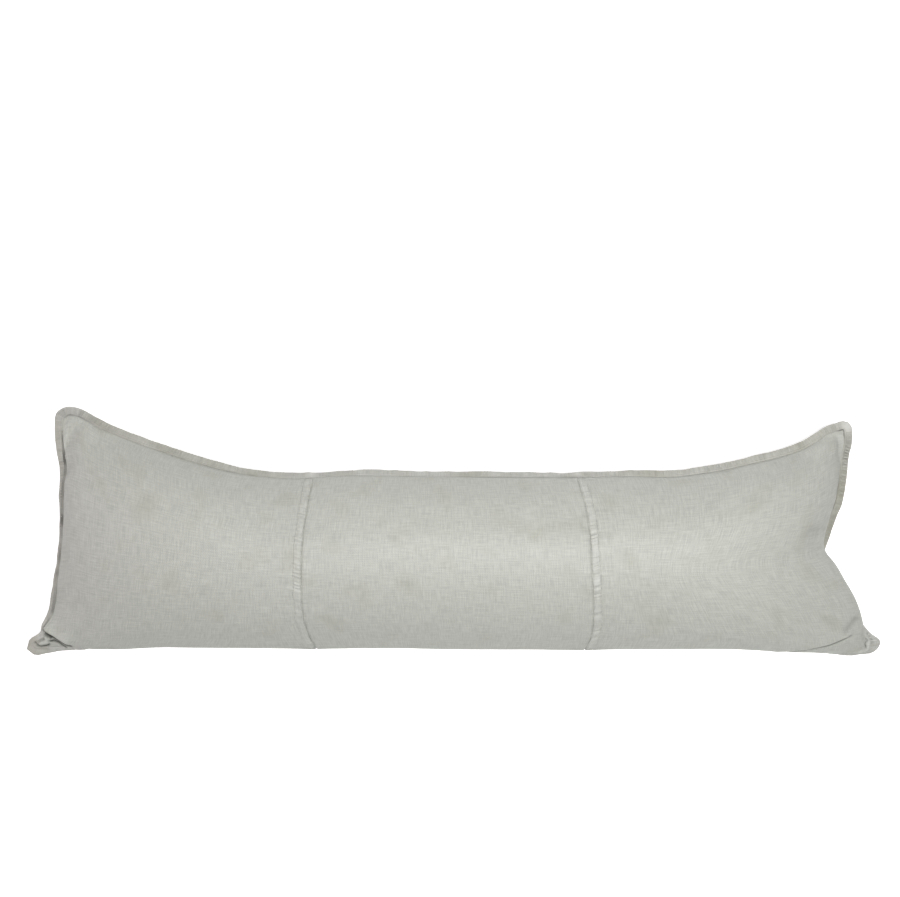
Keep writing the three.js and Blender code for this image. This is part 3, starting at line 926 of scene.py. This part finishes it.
class MakeBody(bpy.types.Operator):
    """Builds the filled body: face panels, felled seams and back, settled by its fill"""

    bl_idname = "cushion.make_body"
    bl_label = "Filled Body"

    def execute(self, context):
        cushion = context.scene.cushion
        form, felled, look = cushion.form, cushion.felled, cushion.look
        face, back = cover_points(form)
        cloth = cloth_coordinates(face)
        bm = bmesh.new()
        bm.loops.layers.uv.new("cloth")
        add_cloth(bm, face * MM, cloth * MM)
        add_cloth(bm, back * MM, (cloth + (0, BACK_OFFSET)) * MM, flip=True)
        for edge in bm.edges:
            edge.smooth = not edge.is_boundary
        bmesh.ops.remove_doubles(bm, verts=[v for v in bm.verts if v.is_boundary], dist=WELD * MM)
        crease = bm.edges.layers.float.new("crease_edge")
        for edge in bm.edges:
            edge[crease] = 0.0 if edge.smooth else 1.0
        material = linen_material("Washed_linen", look.linen, look.linen_pale, look.linen_deep, look)
        piece = new_object("linen_body", bm, material)
        settle(piece, form)
        refine(piece)
        refine_creases(piece)

        mesh = piece.data
        points, normals = read_points(mesh)
        flat = read_cloth(mesh)
        faces_up = flat[:, 1] < BACK_OFFSET / 2
        edge = cloth[0, -1, 1]
        inner = np.clip((edge - np.abs(flat[:, 1])) / LUMP_FADE, 0, 1)
        height = form.lumps / MM * uneven_field(*flat.T, *FILL_LUMPS) * inner
        height += seam_relief(flat, edge, seam_places(face, cloth), felled) + gather_relief(flat, form)
        points += normals * np.where(faces_up, height, 0)[:, None]
        shade = press_creases(points, crease_hold(points, faces_up))
        # Painted shade on the rim where the felled seams draw it in.
        shade = np.maximum(shade, np.where(faces_up, rim_shade(points, normals), 0))
        write_points(mesh, points)
        set_painted_shade(mesh, shade)
        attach(piece, "root")
        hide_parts("filled_body")
        return {"FINISHED"}


# Section of a felled seam, from the cloth beside its strap's free edge to the cloth beside its join:
# distance from the middle line as a share of half the strap's width, height as a share of its rise, how much
# painted shade it takes, and how much the ladder of puckers and the small wrinkles show there.
STRAP_SECTION = np.array((
    (-4.6, -0.4, 0.0, 0.0, 0.0),
    (-4.0, 0.2, 0.0, 0.0, 0.1),
    (-3.2, 0.25, 0.0, 0.0, 0.4),
    (-2.5, 0.25, 0.0, 0.0, 0.7),
    (-1.9, 0.25, 0.0, 0.0, 1.0),
    (-1.5, 0.25, 0.0, 0.0, 1.0),
    (-1.25, 0.2, 0.05, 0.1, 1.0),
    (-1.12, 0.0, 0.2, 0.2, 0.5),
    (-1.03, 0.3, 0.15, 0.4, 0.0),
    (-0.95, 0.8, 0.0, 0.6, 0.0),
    (-0.82, 1.0, 0.0, 1.0, 0.0),
    (-0.7, 0.8, 0.1, 1.0, 0.0),
    (-0.58, 1.0, 0.0, 1.0, 0.0),
    (-0.3, 1.1, 0.0, 1.0, 0.0),
    (0.0, 1.1, 0.0, 1.0, 0.0),
    (0.3, 1.1, 0.0, 1.0, 0.0),
    (0.58, 1.0, 0.0, 1.0, 0.0),
    (0.7, 0.8, 0.06, 1.0, 0.0),
    (0.82, 1.0, 0.0, 0.8, 0.0),
    (0.93, 0.8, 0.0, 0.5, 0.0),
    (1.0, 0.4, 0.2, 0.2, 0.0),
    (1.06, -0.2, 0.6, 0.1, 0.1),
    (1.16, -0.2, 0.55, 0.0, 0.4),
    (1.25, 0.1, 0.0, 0.0, 0.8),
    (1.4, 0.25, 0.0, 0.0, 1.0),
    (1.9, 0.25, 0.0, 0.0, 1.0),
    (2.5, 0.25, 0.0, 0.0, 0.7),
    (3.2, 0.25, 0.0, 0.0, 0.4),
    (3.9, 0.2, 0.0, 0.0, 0.1),
    (4.4, -0.4, 0.0, 0.0, 0.0),
))


def halved(keys):
    """Keys with one more midway between each two, as subdivision places them."""
    return np.sort(np.concatenate([keys, (keys[1:] + keys[:-1]) / 2]))


def face_grid(mesh, cloth):
    """The finished face as a grid: its cloth coordinates along and across, its points and its normals."""
    points, normals = read_points(mesh)
    flat = read_cloth(mesh)
    behind = flat[:, 1] > BACK_OFFSET / 2
    flat[behind, 1] -= BACK_OFFSET
    u, v = halved(cloth[:, 0, 0]), halved(cloth[0, :, 1])
    i = np.searchsorted((u[1:] + u[:-1]) / 2, flat[:, 0])
    j = np.searchsorted((v[1:] + v[:-1]) / 2, flat[:, 1])
    seam = (i == 0) | (i == len(u) - 1) | (j == 0) | (j == len(v) - 1)
    kept = seam | ~behind
    grid = np.zeros((len(u), len(v), 6))
    grid[i[kept], j[kept]] = np.concatenate([points, normals], axis=1)[kept]
    return u, v, grid


def on_face(finished, u, v):
    """Points and normals of the finished face at cloth coordinates u (one for each v)."""
    keys_u, keys_v, grid = finished
    column = np.clip(np.searchsorted(keys_u, u) - 1, 0, len(keys_u) - 2)
    share = ((u - keys_u[column]) / (keys_u[column + 1] - keys_u[column]))[:, None]
    row = np.clip(np.searchsorted(keys_v, v) - 1, 0, len(keys_v) - 2)
    t = ((v - keys_v[row]) / (keys_v[row + 1] - keys_v[row]))[:, None]
    start, stop, leave, arrive = hermite(t)
    found = np.zeros((len(u), 6))
    for side, weight in ((column, 1 - share), (column + 1, share)):
        before, low = grid[side, np.maximum(row - 1, 0)], grid[side, row]
        high, after = grid[side, row + 1], grid[side, np.minimum(row + 2, len(keys_v) - 1)]
        slopes = (high - before) / 2 * leave + (after - low) / 2 * arrive
        found += weight * (low * start + high * stop + slopes)
    return found[:, :3], found[:, 3:] / np.linalg.norm(found[:, 3:], axis=1)[:, None]


def finished_face(form):
    """The face before it settled, its cloth coordinates and the finished face as a grid."""
    face = cover_points(form)[0]
    cloth = cloth_coordinates(face)
    return face, cloth, face_grid(bpy.data.objects["linen_body"].data, cloth)


STRAP_END = 1.5  # a strap ends this far before the cover's edge, in millimetres
STRAP_FADE = 20  # its relief fades in within this distance of the edge, in millimetres


class MakeStraps(bpy.types.Operator):
    """Lays the two felled seams across the face: laddered straps and the wrinkled cloth beside them"""

    bl_idname = "cushion.make_straps"
    bl_label = "Felled Straps"

    def execute(self, context):
        cushion = context.scene.cushion
        felled = cushion.felled
        face, cloth, finished = finished_face(cushion.form)
        edge = cloth[0, -1, 1]
        rows = np.arange(-edge + STRAP_END, edge - STRAP_END, felled.row / MM)
        bm = bmesh.new()
        bm.loops.layers.uv.new("cloth")
        crease = bm.verts.layers.float.new("crease")
        paler_layer = bm.verts.layers.float.new("worn")
        for seam, middle in seam_places(face, cloth):
            join, seed = seam["join"], seam["strap_seed"]
            place, height, dark, laddered, wrinkled = STRAP_SECTION[::join].T[:, :, None]
            v = np.broadcast_to(rows, (len(place), len(rows)))
            wave = {name: uneven(v, pitch, seed + turn) for name, (pitch, turn) in STRAP_WAVES.items()}

            # The free edge wanders a little, the ladder and the wrinkles rise, and both fade at the rim.
            d = place * felled.width / MM / 2 + 0.5 * wave["edge"] * np.exp(-((place + 1) ** 2) / 0.2)
            u = middle + join * d
            points, normals = (part.reshape(*v.shape, 3) for part in on_face(finished, u.ravel(), v.ravel()))
            ladder = uneven(v + 0.3 * d, felled.ladder / MM, seed) * (0.7 + 0.5 * wave["ladder"])
            wrinkle = uneven_field(d * 0.4, v, felled.wrinkle / MM, seed + 40)
            relief = felled.ladder_rise * laddered * ladder + felled.wrinkle_rise * wrinkled * wrinkle
            upright = smooth_step(0.1, 0.7, normals[:, :, 2])
            fade = np.clip((edge - np.abs(v)) / STRAP_FADE, 0.2, 1) * (0.05 + 0.95 * upright)
            lift = (np.where(height < 0, 1, fade) * felled.rise * height + fade * relief) / MM

            # Shade is painted into the join as a dark line and along the free edge as a dashed one, and the
            # rim's painted shade goes over both.
            line = smooth_curve(np.array((-edge, 0, edge)), seam["dark"], v) * (0.75 + 0.6 * wave["join"])
            shade = dark * np.where(place > 0, line, 0.4 + 1.1 * wave["dashes"])
            shade = np.clip(np.maximum(shade, rim_shade(points, normals)), 0, 1)
            # The strap is painted paler, most on the ladder's crests: part wear and part painted highlight.
            worn = np.clip(laddered * (seam["worn"] + 0.24 * np.maximum(ladder, 0)), 0, 1)
            points = points + normals * lift[:, :, None]
            for vert, (i, j) in add_cloth(bm, points * MM, np.stack([u, v], axis=-1) * MM).items():
                vert[crease] = shade[i, j]
                vert[paler_layer] = worn[i, j]
        piece = new_object("felled_straps", bm, bpy.data.materials["Washed_linen"])
        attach(piece, "root")
        return {"FINISHED"}


SEAM_SAMPLES = 400  # places along each side from which the even steps of the edge seam are found
CORNER_REACH = 3.5  # the flange turns round a sharp corner within this distance of it, in millimetres


def seam_course(step):
    """The edge seam once round, anticlockwise from above, at even steps: places, leans and length run."""
    share = np.linspace(0, 1, SEAM_SAMPLES)
    runs = {}
    for name, table, part in (("straight", STRAIGHT_EDGE, share), ("sagging", SAGGING_EDGE, share[::-1])):
        x = table[0, 0] + (table[-1, 0] - table[0, 0]) * part
        runs[name] = np.stack([x, *(along(table, "x", x, column) for column in ("y", "z", "lean"))], axis=1)
    for name, table, part in (("right", RIGHT_END, share), ("left", LEFT_END, share[::-1])):
        x = end_value(table, part, "x")
        low, high = along(STRAIGHT_EDGE, "x", x, "y"), along(SAGGING_EDGE, "x", x, "y")
        y = low + (high - low) * part
        runs[name] = np.stack([x, y, end_value(table, part, "z"), end_value(table, part, "lean")], axis=1)
    loop = np.concatenate([runs["straight"][:-1], runs["right"][:-1], runs["sagging"][:-1], runs["left"]])
    length = np.concatenate([[0], np.cumsum(np.linalg.norm(np.diff(loop[:, :3], axis=0), axis=1))])
    at = np.linspace(0, length[-1], round(length[-1] / step), endpoint=False)
    even = np.stack([np.interp(at, length, values) for values in loop.T], axis=1)
    return even[:, :3], even[:, 3], at


def rounded_heading(places, step):
    """Level direction along a closed course, eased round sharp corners."""
    ahead = np.roll(places, -1, axis=0) - places
    ahead[:, 2] = 0
    ahead /= np.linalg.norm(ahead, axis=1)[:, None]
    total = np.zeros_like(ahead)
    spread = max(1, round(CORNER_REACH / step))
    for shift in range(-spread, spread):
        total += np.roll(ahead, -shift, axis=0)
    return total / np.linalg.norm(total, axis=1)[:, None]


# Section of the flange's upper side from the seam outwards, with a groove where a stitch row draws the
# cloth in: distance from the seam and height over its middle, as shares of the width and of half the
# thickness, and how much of the shade painted between the overlock bars it takes.
FLANGE_SECTION = (
    (-0.06, -0.2, 0.0),
    (0.02, 0.2, 0.2),
    (0.09, 0.6, 0.5),
    (0.16, 1.05, 0.7),
    (0.22, 1.1, 0.8),
    (0.26, 0.9, 0.9),
    (0.295, 0.6, 1.0),
    (0.33, 0.9, 1.0),
    (0.45, 1.0, 1.0),
    (0.6, 1.0, 1.0),
    (0.8, 1.0, 0.8),
    (0.92, 0.85, 0.3),
    (0.98, 0.45, 0.0),
    (1.0, 0.0, 0.0),
)


def flange_axes(flange, step):
    """Stations of the flange: places on the seam, outward, raised and onward directions, run and width."""
    places, lean, run = seam_course(step)
    wave = {name: uneven(run, *FLANGE_WAVES[name]) for name in ("lean", "ripple", "width")}
    heading = rounded_heading(places, step)
    level = np.stack([heading[:, 1], -heading[:, 0], np.zeros(len(heading))], axis=1)
    lean = (np.radians(lean) + flange.wave * (wave["lean"] + 0.5 * wave["ripple"]))[:, None]
    up = np.array((0.0, 0.0, 1.0))
    outward = level * np.cos(lean) - up * np.sin(lean)
    raised = level * np.sin(lean) + up * np.cos(lean)
    width = flange.width / MM * (1 + near_spots(places, FLANGE_TIPS)) * (1 + 0.04 * wave["width"])
    return places, outward, raised, heading, run, width


def is_plain(places):
    """True for each place on the flange that has no overlock bars."""
    plain = np.zeros(len(places), bool)
    for x, y, radius in PLAIN_SPOTS:
        plain |= np.hypot(places[:, 0] - x, places[:, 1] - y) < radius
    return plain


def bar_strength(places):
    """How strongly the overlock bars stand out at places on the flange."""
    return np.clip(BARS + near_spots(places, BAR_SPOTS), 0, 1)


class MakeFlange(bpy.types.Operator):
    """Builds the flange of doubled cloth that stands out all round past the edge seam"""

    bl_idname = "cushion.make_flange"
    bl_label = "Edge Flange"

    def execute(self, context):
        cushion = context.scene.cushion
        flange, look = cushion.flange, cushion.look
        step = flange.station / MM
        places, outward, raised, heading, run, width = flange_axes(flange, step)
        wave = {name: uneven(run, *FLANGE_WAVES[name]) for name in ("gap", "shade_between_bars", "threads", "olive")}
        section = [*FLANGE_SECTION, *((out, -up, barred) for out, up, barred in FLANGE_SECTION[-2::-1])]
        out, up, barred = np.array((*section, section[0])).T
        away = out * width[:, None]
        points = places[:, None] + outward[:, None] * away[:, :, None]
        points = points + raised[:, None] * (up * flange.thickness / MM / 2)[:, None]
        crumple = CRUMPLES + near_spots(places, CRUMPLE_SPOTS)
        heave = uneven_field(points[:, :, 0], points[:, :, 1], *FLANGE_CRUMPLES) * crumple[:, None]
        points[:, :, 2] += heave * smooth_step(0, 3, away)

        # Shade is painted into the gap beside the seam and between the bars, and the cloth is painted paler
        # at its outer edge.
        gap = (GAP_SHADE + near_spots(places, GAP_SPOTS)) * (0.8 + 0.5 * wave["gap"])
        wide = (GAP_WIDTH + near_spots(places, WIDTH_SPOTS))[:, None]
        deep = gap[:, None] * (1 - smooth_step(wide - 0.4, wide + 0.9, away))
        bars = bar_strength(places)
        shade_between_bars = 0.4 * bars * ~is_plain(places) * (0.8 + 0.5 * wave["shade_between_bars"] + 0.7 * wave["threads"])
        shade = np.clip(np.maximum(deep, shade_between_bars[:, None] * barred), 0, 1)
        olive = np.clip(OLIVE + near_spots(places, OLIVE_SPOTS) + 0.15 * wave["olive"], 0, 1)
        edge = smooth_step(0.8, 0.95, out) * bars[:, None] * 0.35
        worn = near_spots(points.reshape(-1, 3), PALER_SPOTS).reshape(away.shape) + edge
        worn = np.clip(worn, 0, 1)

        # The first station comes again at the end, and the two are merged.
        points, shade, worn, olive = (np.concatenate([v, v[:1]]) for v in (points, shade, worn, olive))
        girth = np.concatenate([[0], np.cumsum(np.linalg.norm(np.diff(points[0], axis=0), axis=1))])
        length = np.append(run, run[-1] + step)
        cloth = np.stack(np.meshgrid(length, girth, indexing="ij"), axis=-1)
        bm = bmesh.new()
        bm.loops.layers.uv.new("cloth")
        dark = bm.verts.layers.float.new("crease")
        tint = bm.verts.layers.float.new("olive")
        paler_layer = bm.verts.layers.float.new("worn")
        for vert, (i, j) in add_cloth(bm, points * MM, cloth * MM).items():
            vert[dark] = shade[i, j]
            vert[tint] = olive[i]
            vert[paler_layer] = worn[i, j]
        bmesh.ops.remove_doubles(bm, verts=[v for v in bm.verts if v.is_boundary], dist=WELD * MM)
        bmesh.ops.recalc_face_normals(bm, faces=bm.faces)
        material = linen_material("Overlocked_linen_edge", look.edge, look.thread, look.edge_deep, look)
        piece = new_object("flange_cloth", bm, material)
        mesh = piece.data
        moved = read_points(mesh)[0]
        creased = press_creases(moved, np.ones(len(moved)))
        write_points(mesh, moved)
        set_painted_shade(mesh, creased)
        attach(piece, "root")
        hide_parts("edge_flange")
        return {"FINISHED"}


# Width and height of an overlock stitch and of a plain one, in millimetres, and the facets of a stitch.
OVERLOCK_THREAD, SEWING_THREAD = (2.0, 1.3), (0.8, 0.6)
STITCH_SIDES, STITCH_RINGS = 8, 5
ROW_END = 4  # the stitch rows of a felled seam end this far before the cover's edge, in millimetres


def ring_order(place):
    """A number that grows from ring to ring of a ball and round each ring, in thousandths and degrees."""
    return 1000 * round(1000 * place.z) + round(math.degrees(math.atan2(place.y, place.x))) % 360


def sew(name, centres, forward, raised, lengths, thread, material, olive=0.0):
    """Joins one small rounded stitch at each centre, each with its length. thread is its width and
    height. One stitch is stretched to each place in turn and added. The order of its points and faces,
    which the ball leaves to chance, is fixed."""
    bm = bmesh.new()
    bmesh.ops.create_uvsphere(bm, u_segments=STITCH_SIDES, v_segments=STITCH_RINGS, radius=0.5)
    bm.verts.sort(key=lambda vert: ring_order(vert.co))
    bm.faces.sort(key=lambda face: ring_order(face.calc_center_median()))
    shape = np.array([vert.co for vert in bm.verts])
    stitch = bpy.data.meshes.new("stitch")
    bm.to_mesh(stitch)
    bm.clear()
    tint = stitch.attributes.new("olive", "FLOAT", "POINT")
    side = np.cross(raised, forward)
    axes = np.stack([side * thread[0], raised * thread[1], forward * lengths[:, None]], axis=1)
    points = centres[:, None, :] + shape @ axes
    for places, cast in zip(points, np.broadcast_to(olive, len(centres))):
        write_points(stitch, places)
        tint.data.foreach_set("value", np.full(len(shape), cast))
        bm.from_mesh(stitch)
    bpy.data.meshes.remove(stitch)
    piece = new_object(name, bm, material)
    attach(piece, "root")


class MakeStitches(bpy.types.Operator):
    """Sews the overlock bars and the stitch row on the flange and the rows on the felled seams"""

    bl_idname = "cushion.make_stitches"
    bl_label = "Stitches"

    def execute(self, context):
        cushion = context.scene.cushion
        flange, felled = cushion.flange, cushion.felled
        material = thread_material(cushion.look)
        half = flange.thickness / MM / 2
        line = flange.stitch_line / MM

        # Overlock bars on both sides of the flange, each from the stitch line to the flange's outer edge.
        pitch = flange.bar_pitch / MM
        places, outward, raised, heading, run, width = flange_axes(flange, pitch)
        wave = {name: uneven(run, pitch, seed) for name, seed in BAR_SEEDS.items()}
        barred = ~is_plain(places)
        bars = bar_strength(places)
        across = outward + heading * 0.2 * wave["slant"][:, None]
        across /= np.linalg.norm(across, axis=1)[:, None]
        first = line * (1 - 0.8 * smooth_step(0.7, 0.95, bars)) + (0.6 + bars) * wave["start"]
        lengths = width - first + 0.4 * wave["length"]
        middle = places + outward * (first + lengths / 2)[:, None]
        high = (half - 0.15 - 0.4 * (1 - bars) - 0.3 * np.abs(wave["depth"]))[:, None]
        ups = np.concatenate([raised[barred], -raised[barred]])
        centres = np.tile(middle[barred], (2, 1)) + ups * np.tile(high[barred], (2, 1))
        press_creases(centres, np.ones(len(centres)))
        olive = np.clip(OLIVE + near_spots(places, OLIVE_SPOTS) + 0.3 * wave["olive"], 0, 1)
        across, lengths, olive = (np.concatenate([v[barred]] * 2) for v in (across, lengths, olive))
        sew("overlock_stitches", centres, across, ups, lengths, OVERLOCK_THREAD, material, olive)

        # The stitch row along the flange, sunk in its groove.
        pitch = (felled.stitch + felled.stitch_gap) / MM
        places, outward, raised, heading, run, width = flange_axes(flange, pitch)
        centres = places + outward * line + raised * (half * 0.45)
        press_creases(centres, np.ones(len(centres)))
        lengths = np.full(len(centres), felled.stitch / MM)
        sew("flange_stitches", centres, heading, raised, lengths, SEWING_THREAD, material)

        # Two rows on each felled seam, half sunk in its strap.
        face, cloth, finished = finished_face(cushion.form)
        edge = cloth[0, -1, 1]
        v = np.arange(-edge + ROW_END, edge - ROW_END, pitch)
        inset = (felled.width / 2 - felled.stitch_inset) / MM
        u = [middle + side * inset for seam, middle in seam_places(face, cloth) for side in (-1, 1)]
        points, ups = on_face(finished, np.repeat(u, len(v)), np.tile(v, len(u)))
        centres = points + ups * felled.rise / MM * 0.75
        forward = np.cross(ups, (1.0, 0, 0))
        forward /= np.linalg.norm(forward, axis=1)[:, None]
        lengths = np.full(len(centres), felled.stitch / MM)
        sew("felled_seam_stitches", centres, forward, ups, lengths, SEWING_THREAD, material)
        return {"FINISHED"}


# Soft square lights: the setting that holds a light's power, whether it has the fill's colour, its width in
# metres, the angle by which its light spreads in degrees, its place and the place that it is turned to.
LIGHTS = (
    {"name": "Soft light overhead", "power": "key_power", "tinted": False, "size": 0.7, "spread": 120,
     "place": (0.29, -0.1, 2.5), "target": (0.25, -0.05, 0)},
    {"name": "Soft light at the left", "power": "left_power", "tinted": True, "size": 1.2, "spread": 180,
     "place": (-1.7, 0, 1.1), "target": (-0.45, 0, 0.08)},
    {"name": "Soft light at the right", "power": "right_power", "tinted": True, "size": 1.2, "spread": 180,
     "place": (1.7, 0.4, 1.0), "target": (0.55, -0.08, 0.08)},
    {"name": "Soft light at the top", "power": "top_power", "tinted": False, "size": 1.2, "spread": 180,
     "place": (-0.4, 1.7, 1.1), "target": (-0.1, 0.05, 0.08)},
)
FLOOR_SIZE = 8  # half the floor's width, in metres
FLOOR_GRAIN = 2  # size of the floor's fine grain, in millimetres


def hang_light(lamp, stage):
    """Hangs a soft light at its place and turns it to its target."""
    light = bpy.data.lights.new(lamp["name"], "AREA")
    light.size = lamp["size"]
    light.spread = math.radians(lamp["spread"])
    light.energy = getattr(stage, lamp["power"])
    light.color = stage.fill if lamp["tinted"] else WHITE
    hung = bpy.data.objects.new(lamp["name"], light)
    hung.location = lamp["place"]
    hung.rotation_mode = "QUATERNION"
    hung.rotation_quaternion = (Vector(lamp["target"]) - hung.location).to_track_quat("-Z", "Y")
    bpy.context.scene.collection.objects.link(hung)


def camera_strength(tree, lighting, seen):
    """A brightness with one value as it lights the cushion and another as the camera sees it."""
    ray = add_node(tree, "ShaderNodeLightPath").outputs["Is Camera Ray"]
    strength = add_node(tree, "ShaderNodeMapRange", {"Value": ray, "To Min": lighting, "To Max": seen})
    return strength.outputs["Result"]


def floor_material(stage):
    """White acrylic, frosted and lit from behind, so it is an even, shadowless white."""
    material, tree, shader = new_material("Backlit_acrylic_floor")
    place = add_node(tree, "ShaderNodeTexCoord").outputs["Object"]
    grain = add_node(
        tree, "ShaderNodeTexNoise", {"Vector": place, "Scale": 1 / (FLOOR_GRAIN * MM), "Detail": 2.0})
    bump = add_node(tree, "ShaderNodeBump", {
        "Height": grain.outputs["Fac"], "Strength": 0.1, "Distance": 0.05 * MM})
    tree.links.new(bump.outputs["Normal"], shader.inputs["Normal"])
    shader.inputs["Base Color"].default_value = opaque(stage.floor)
    shader.inputs["Roughness"].default_value = 0.95
    shader.inputs["Specular IOR Level"].default_value = 0.1
    shader.inputs["Emission Color"].default_value = opaque(WHITE)
    glow = camera_strength(tree, stage.bounce, stage.glow)
    tree.links.new(glow, shader.inputs["Emission Strength"])
    return material


class MakeStage(bpy.types.Operator):
    """Lays the floor, hangs the soft light and sets the camera over the cushion's face"""

    bl_idname = "cushion.make_stage"
    bl_label = "Stage"

    def execute(self, context):
        stage = context.scene.cushion.stage
        scene = context.scene
        bm = bmesh.new()
        bmesh.ops.create_grid(bm, x_segments=1, y_segments=1, size=FLOOR_SIZE)
        floor = new_object("acrylic_floor", bm, floor_material(stage))

        world = bpy.data.worlds.new("White surround")
        world.use_nodes = True
        tree = world.node_tree
        around = tree.nodes["Background"].inputs
        around["Color"].default_value = opaque(WHITE)
        tree.links.new(camera_strength(tree, stage.sky, stage.backdrop), around["Strength"])
        scene.world = world
        for lamp in LIGHTS:
            hang_light(lamp, stage)

        eye = bpy.data.cameras.new("Camera")
        eye.sensor_width = 36
        eye.lens = eye.sensor_width * stage.distance / stage.view_width
        camera = bpy.data.objects.new("Camera", eye)
        camera.location = (stage.eye_x, stage.eye_y, stage.seam_height + stage.distance)
        scene.collection.objects.link(camera)
        scene.camera = camera
        scene.view_settings.view_transform = "Standard"
        return {"FINISHED"}


class CushionSettings(bpy.types.PropertyGroup):
    """All that shapes the cushion and its stage."""

    form: bpy.props.PointerProperty(type=CushionForm)
    felled: bpy.props.PointerProperty(type=FelledSeamForm)
    flange: bpy.props.PointerProperty(type=FlangeForm)
    look: bpy.props.PointerProperty(type=LinenLook)
    stage: bpy.props.PointerProperty(type=StageForm)


class CushionPanel(bpy.types.Panel):
    """Lists the steps that build the cushion"""

    bl_idname = "VIEW3D_PT_linen_cushion"
    bl_label = "Linen Cushion"
    bl_space_type = "VIEW_3D"
    bl_region_type = "UI"
    bl_category = "Cushion"

    def draw(self, context):
        for step in STEPS:
            self.layout.operator(step.bl_idname)
        for group in ("form", "felled", "flange", "look", "stage"):
            settings = getattr(context.scene.cushion, group)
            box = self.layout.box()
            for name in settings.__annotations__:
                box.prop(settings, name)


STEPS = (MakeBody, MakeStraps, MakeFlange, MakeStitches, MakeStage)
GROUPS = (CushionForm, FelledSeamForm, FlangeForm, LinenLook, StageForm, CushionSettings)


def register():
    for item in (*GROUPS, *STEPS, CushionPanel):
        bpy.utils.register_class(item)
    bpy.types.Scene.cushion = bpy.props.PointerProperty(type=CushionSettings)


def unregister():
    del bpy.types.Scene.cushion
    for item in reversed((*GROUPS, *STEPS, CushionPanel)):
        bpy.utils.unregister_class(item)


def main():
    register()
    bpy.ops.cushion.make_body()
    bpy.ops.cushion.make_straps()
    bpy.ops.cushion.make_flange()
    bpy.ops.cushion.make_stitches()
    bpy.ops.cushion.make_stage()


if __name__ == "__main__":
    main()
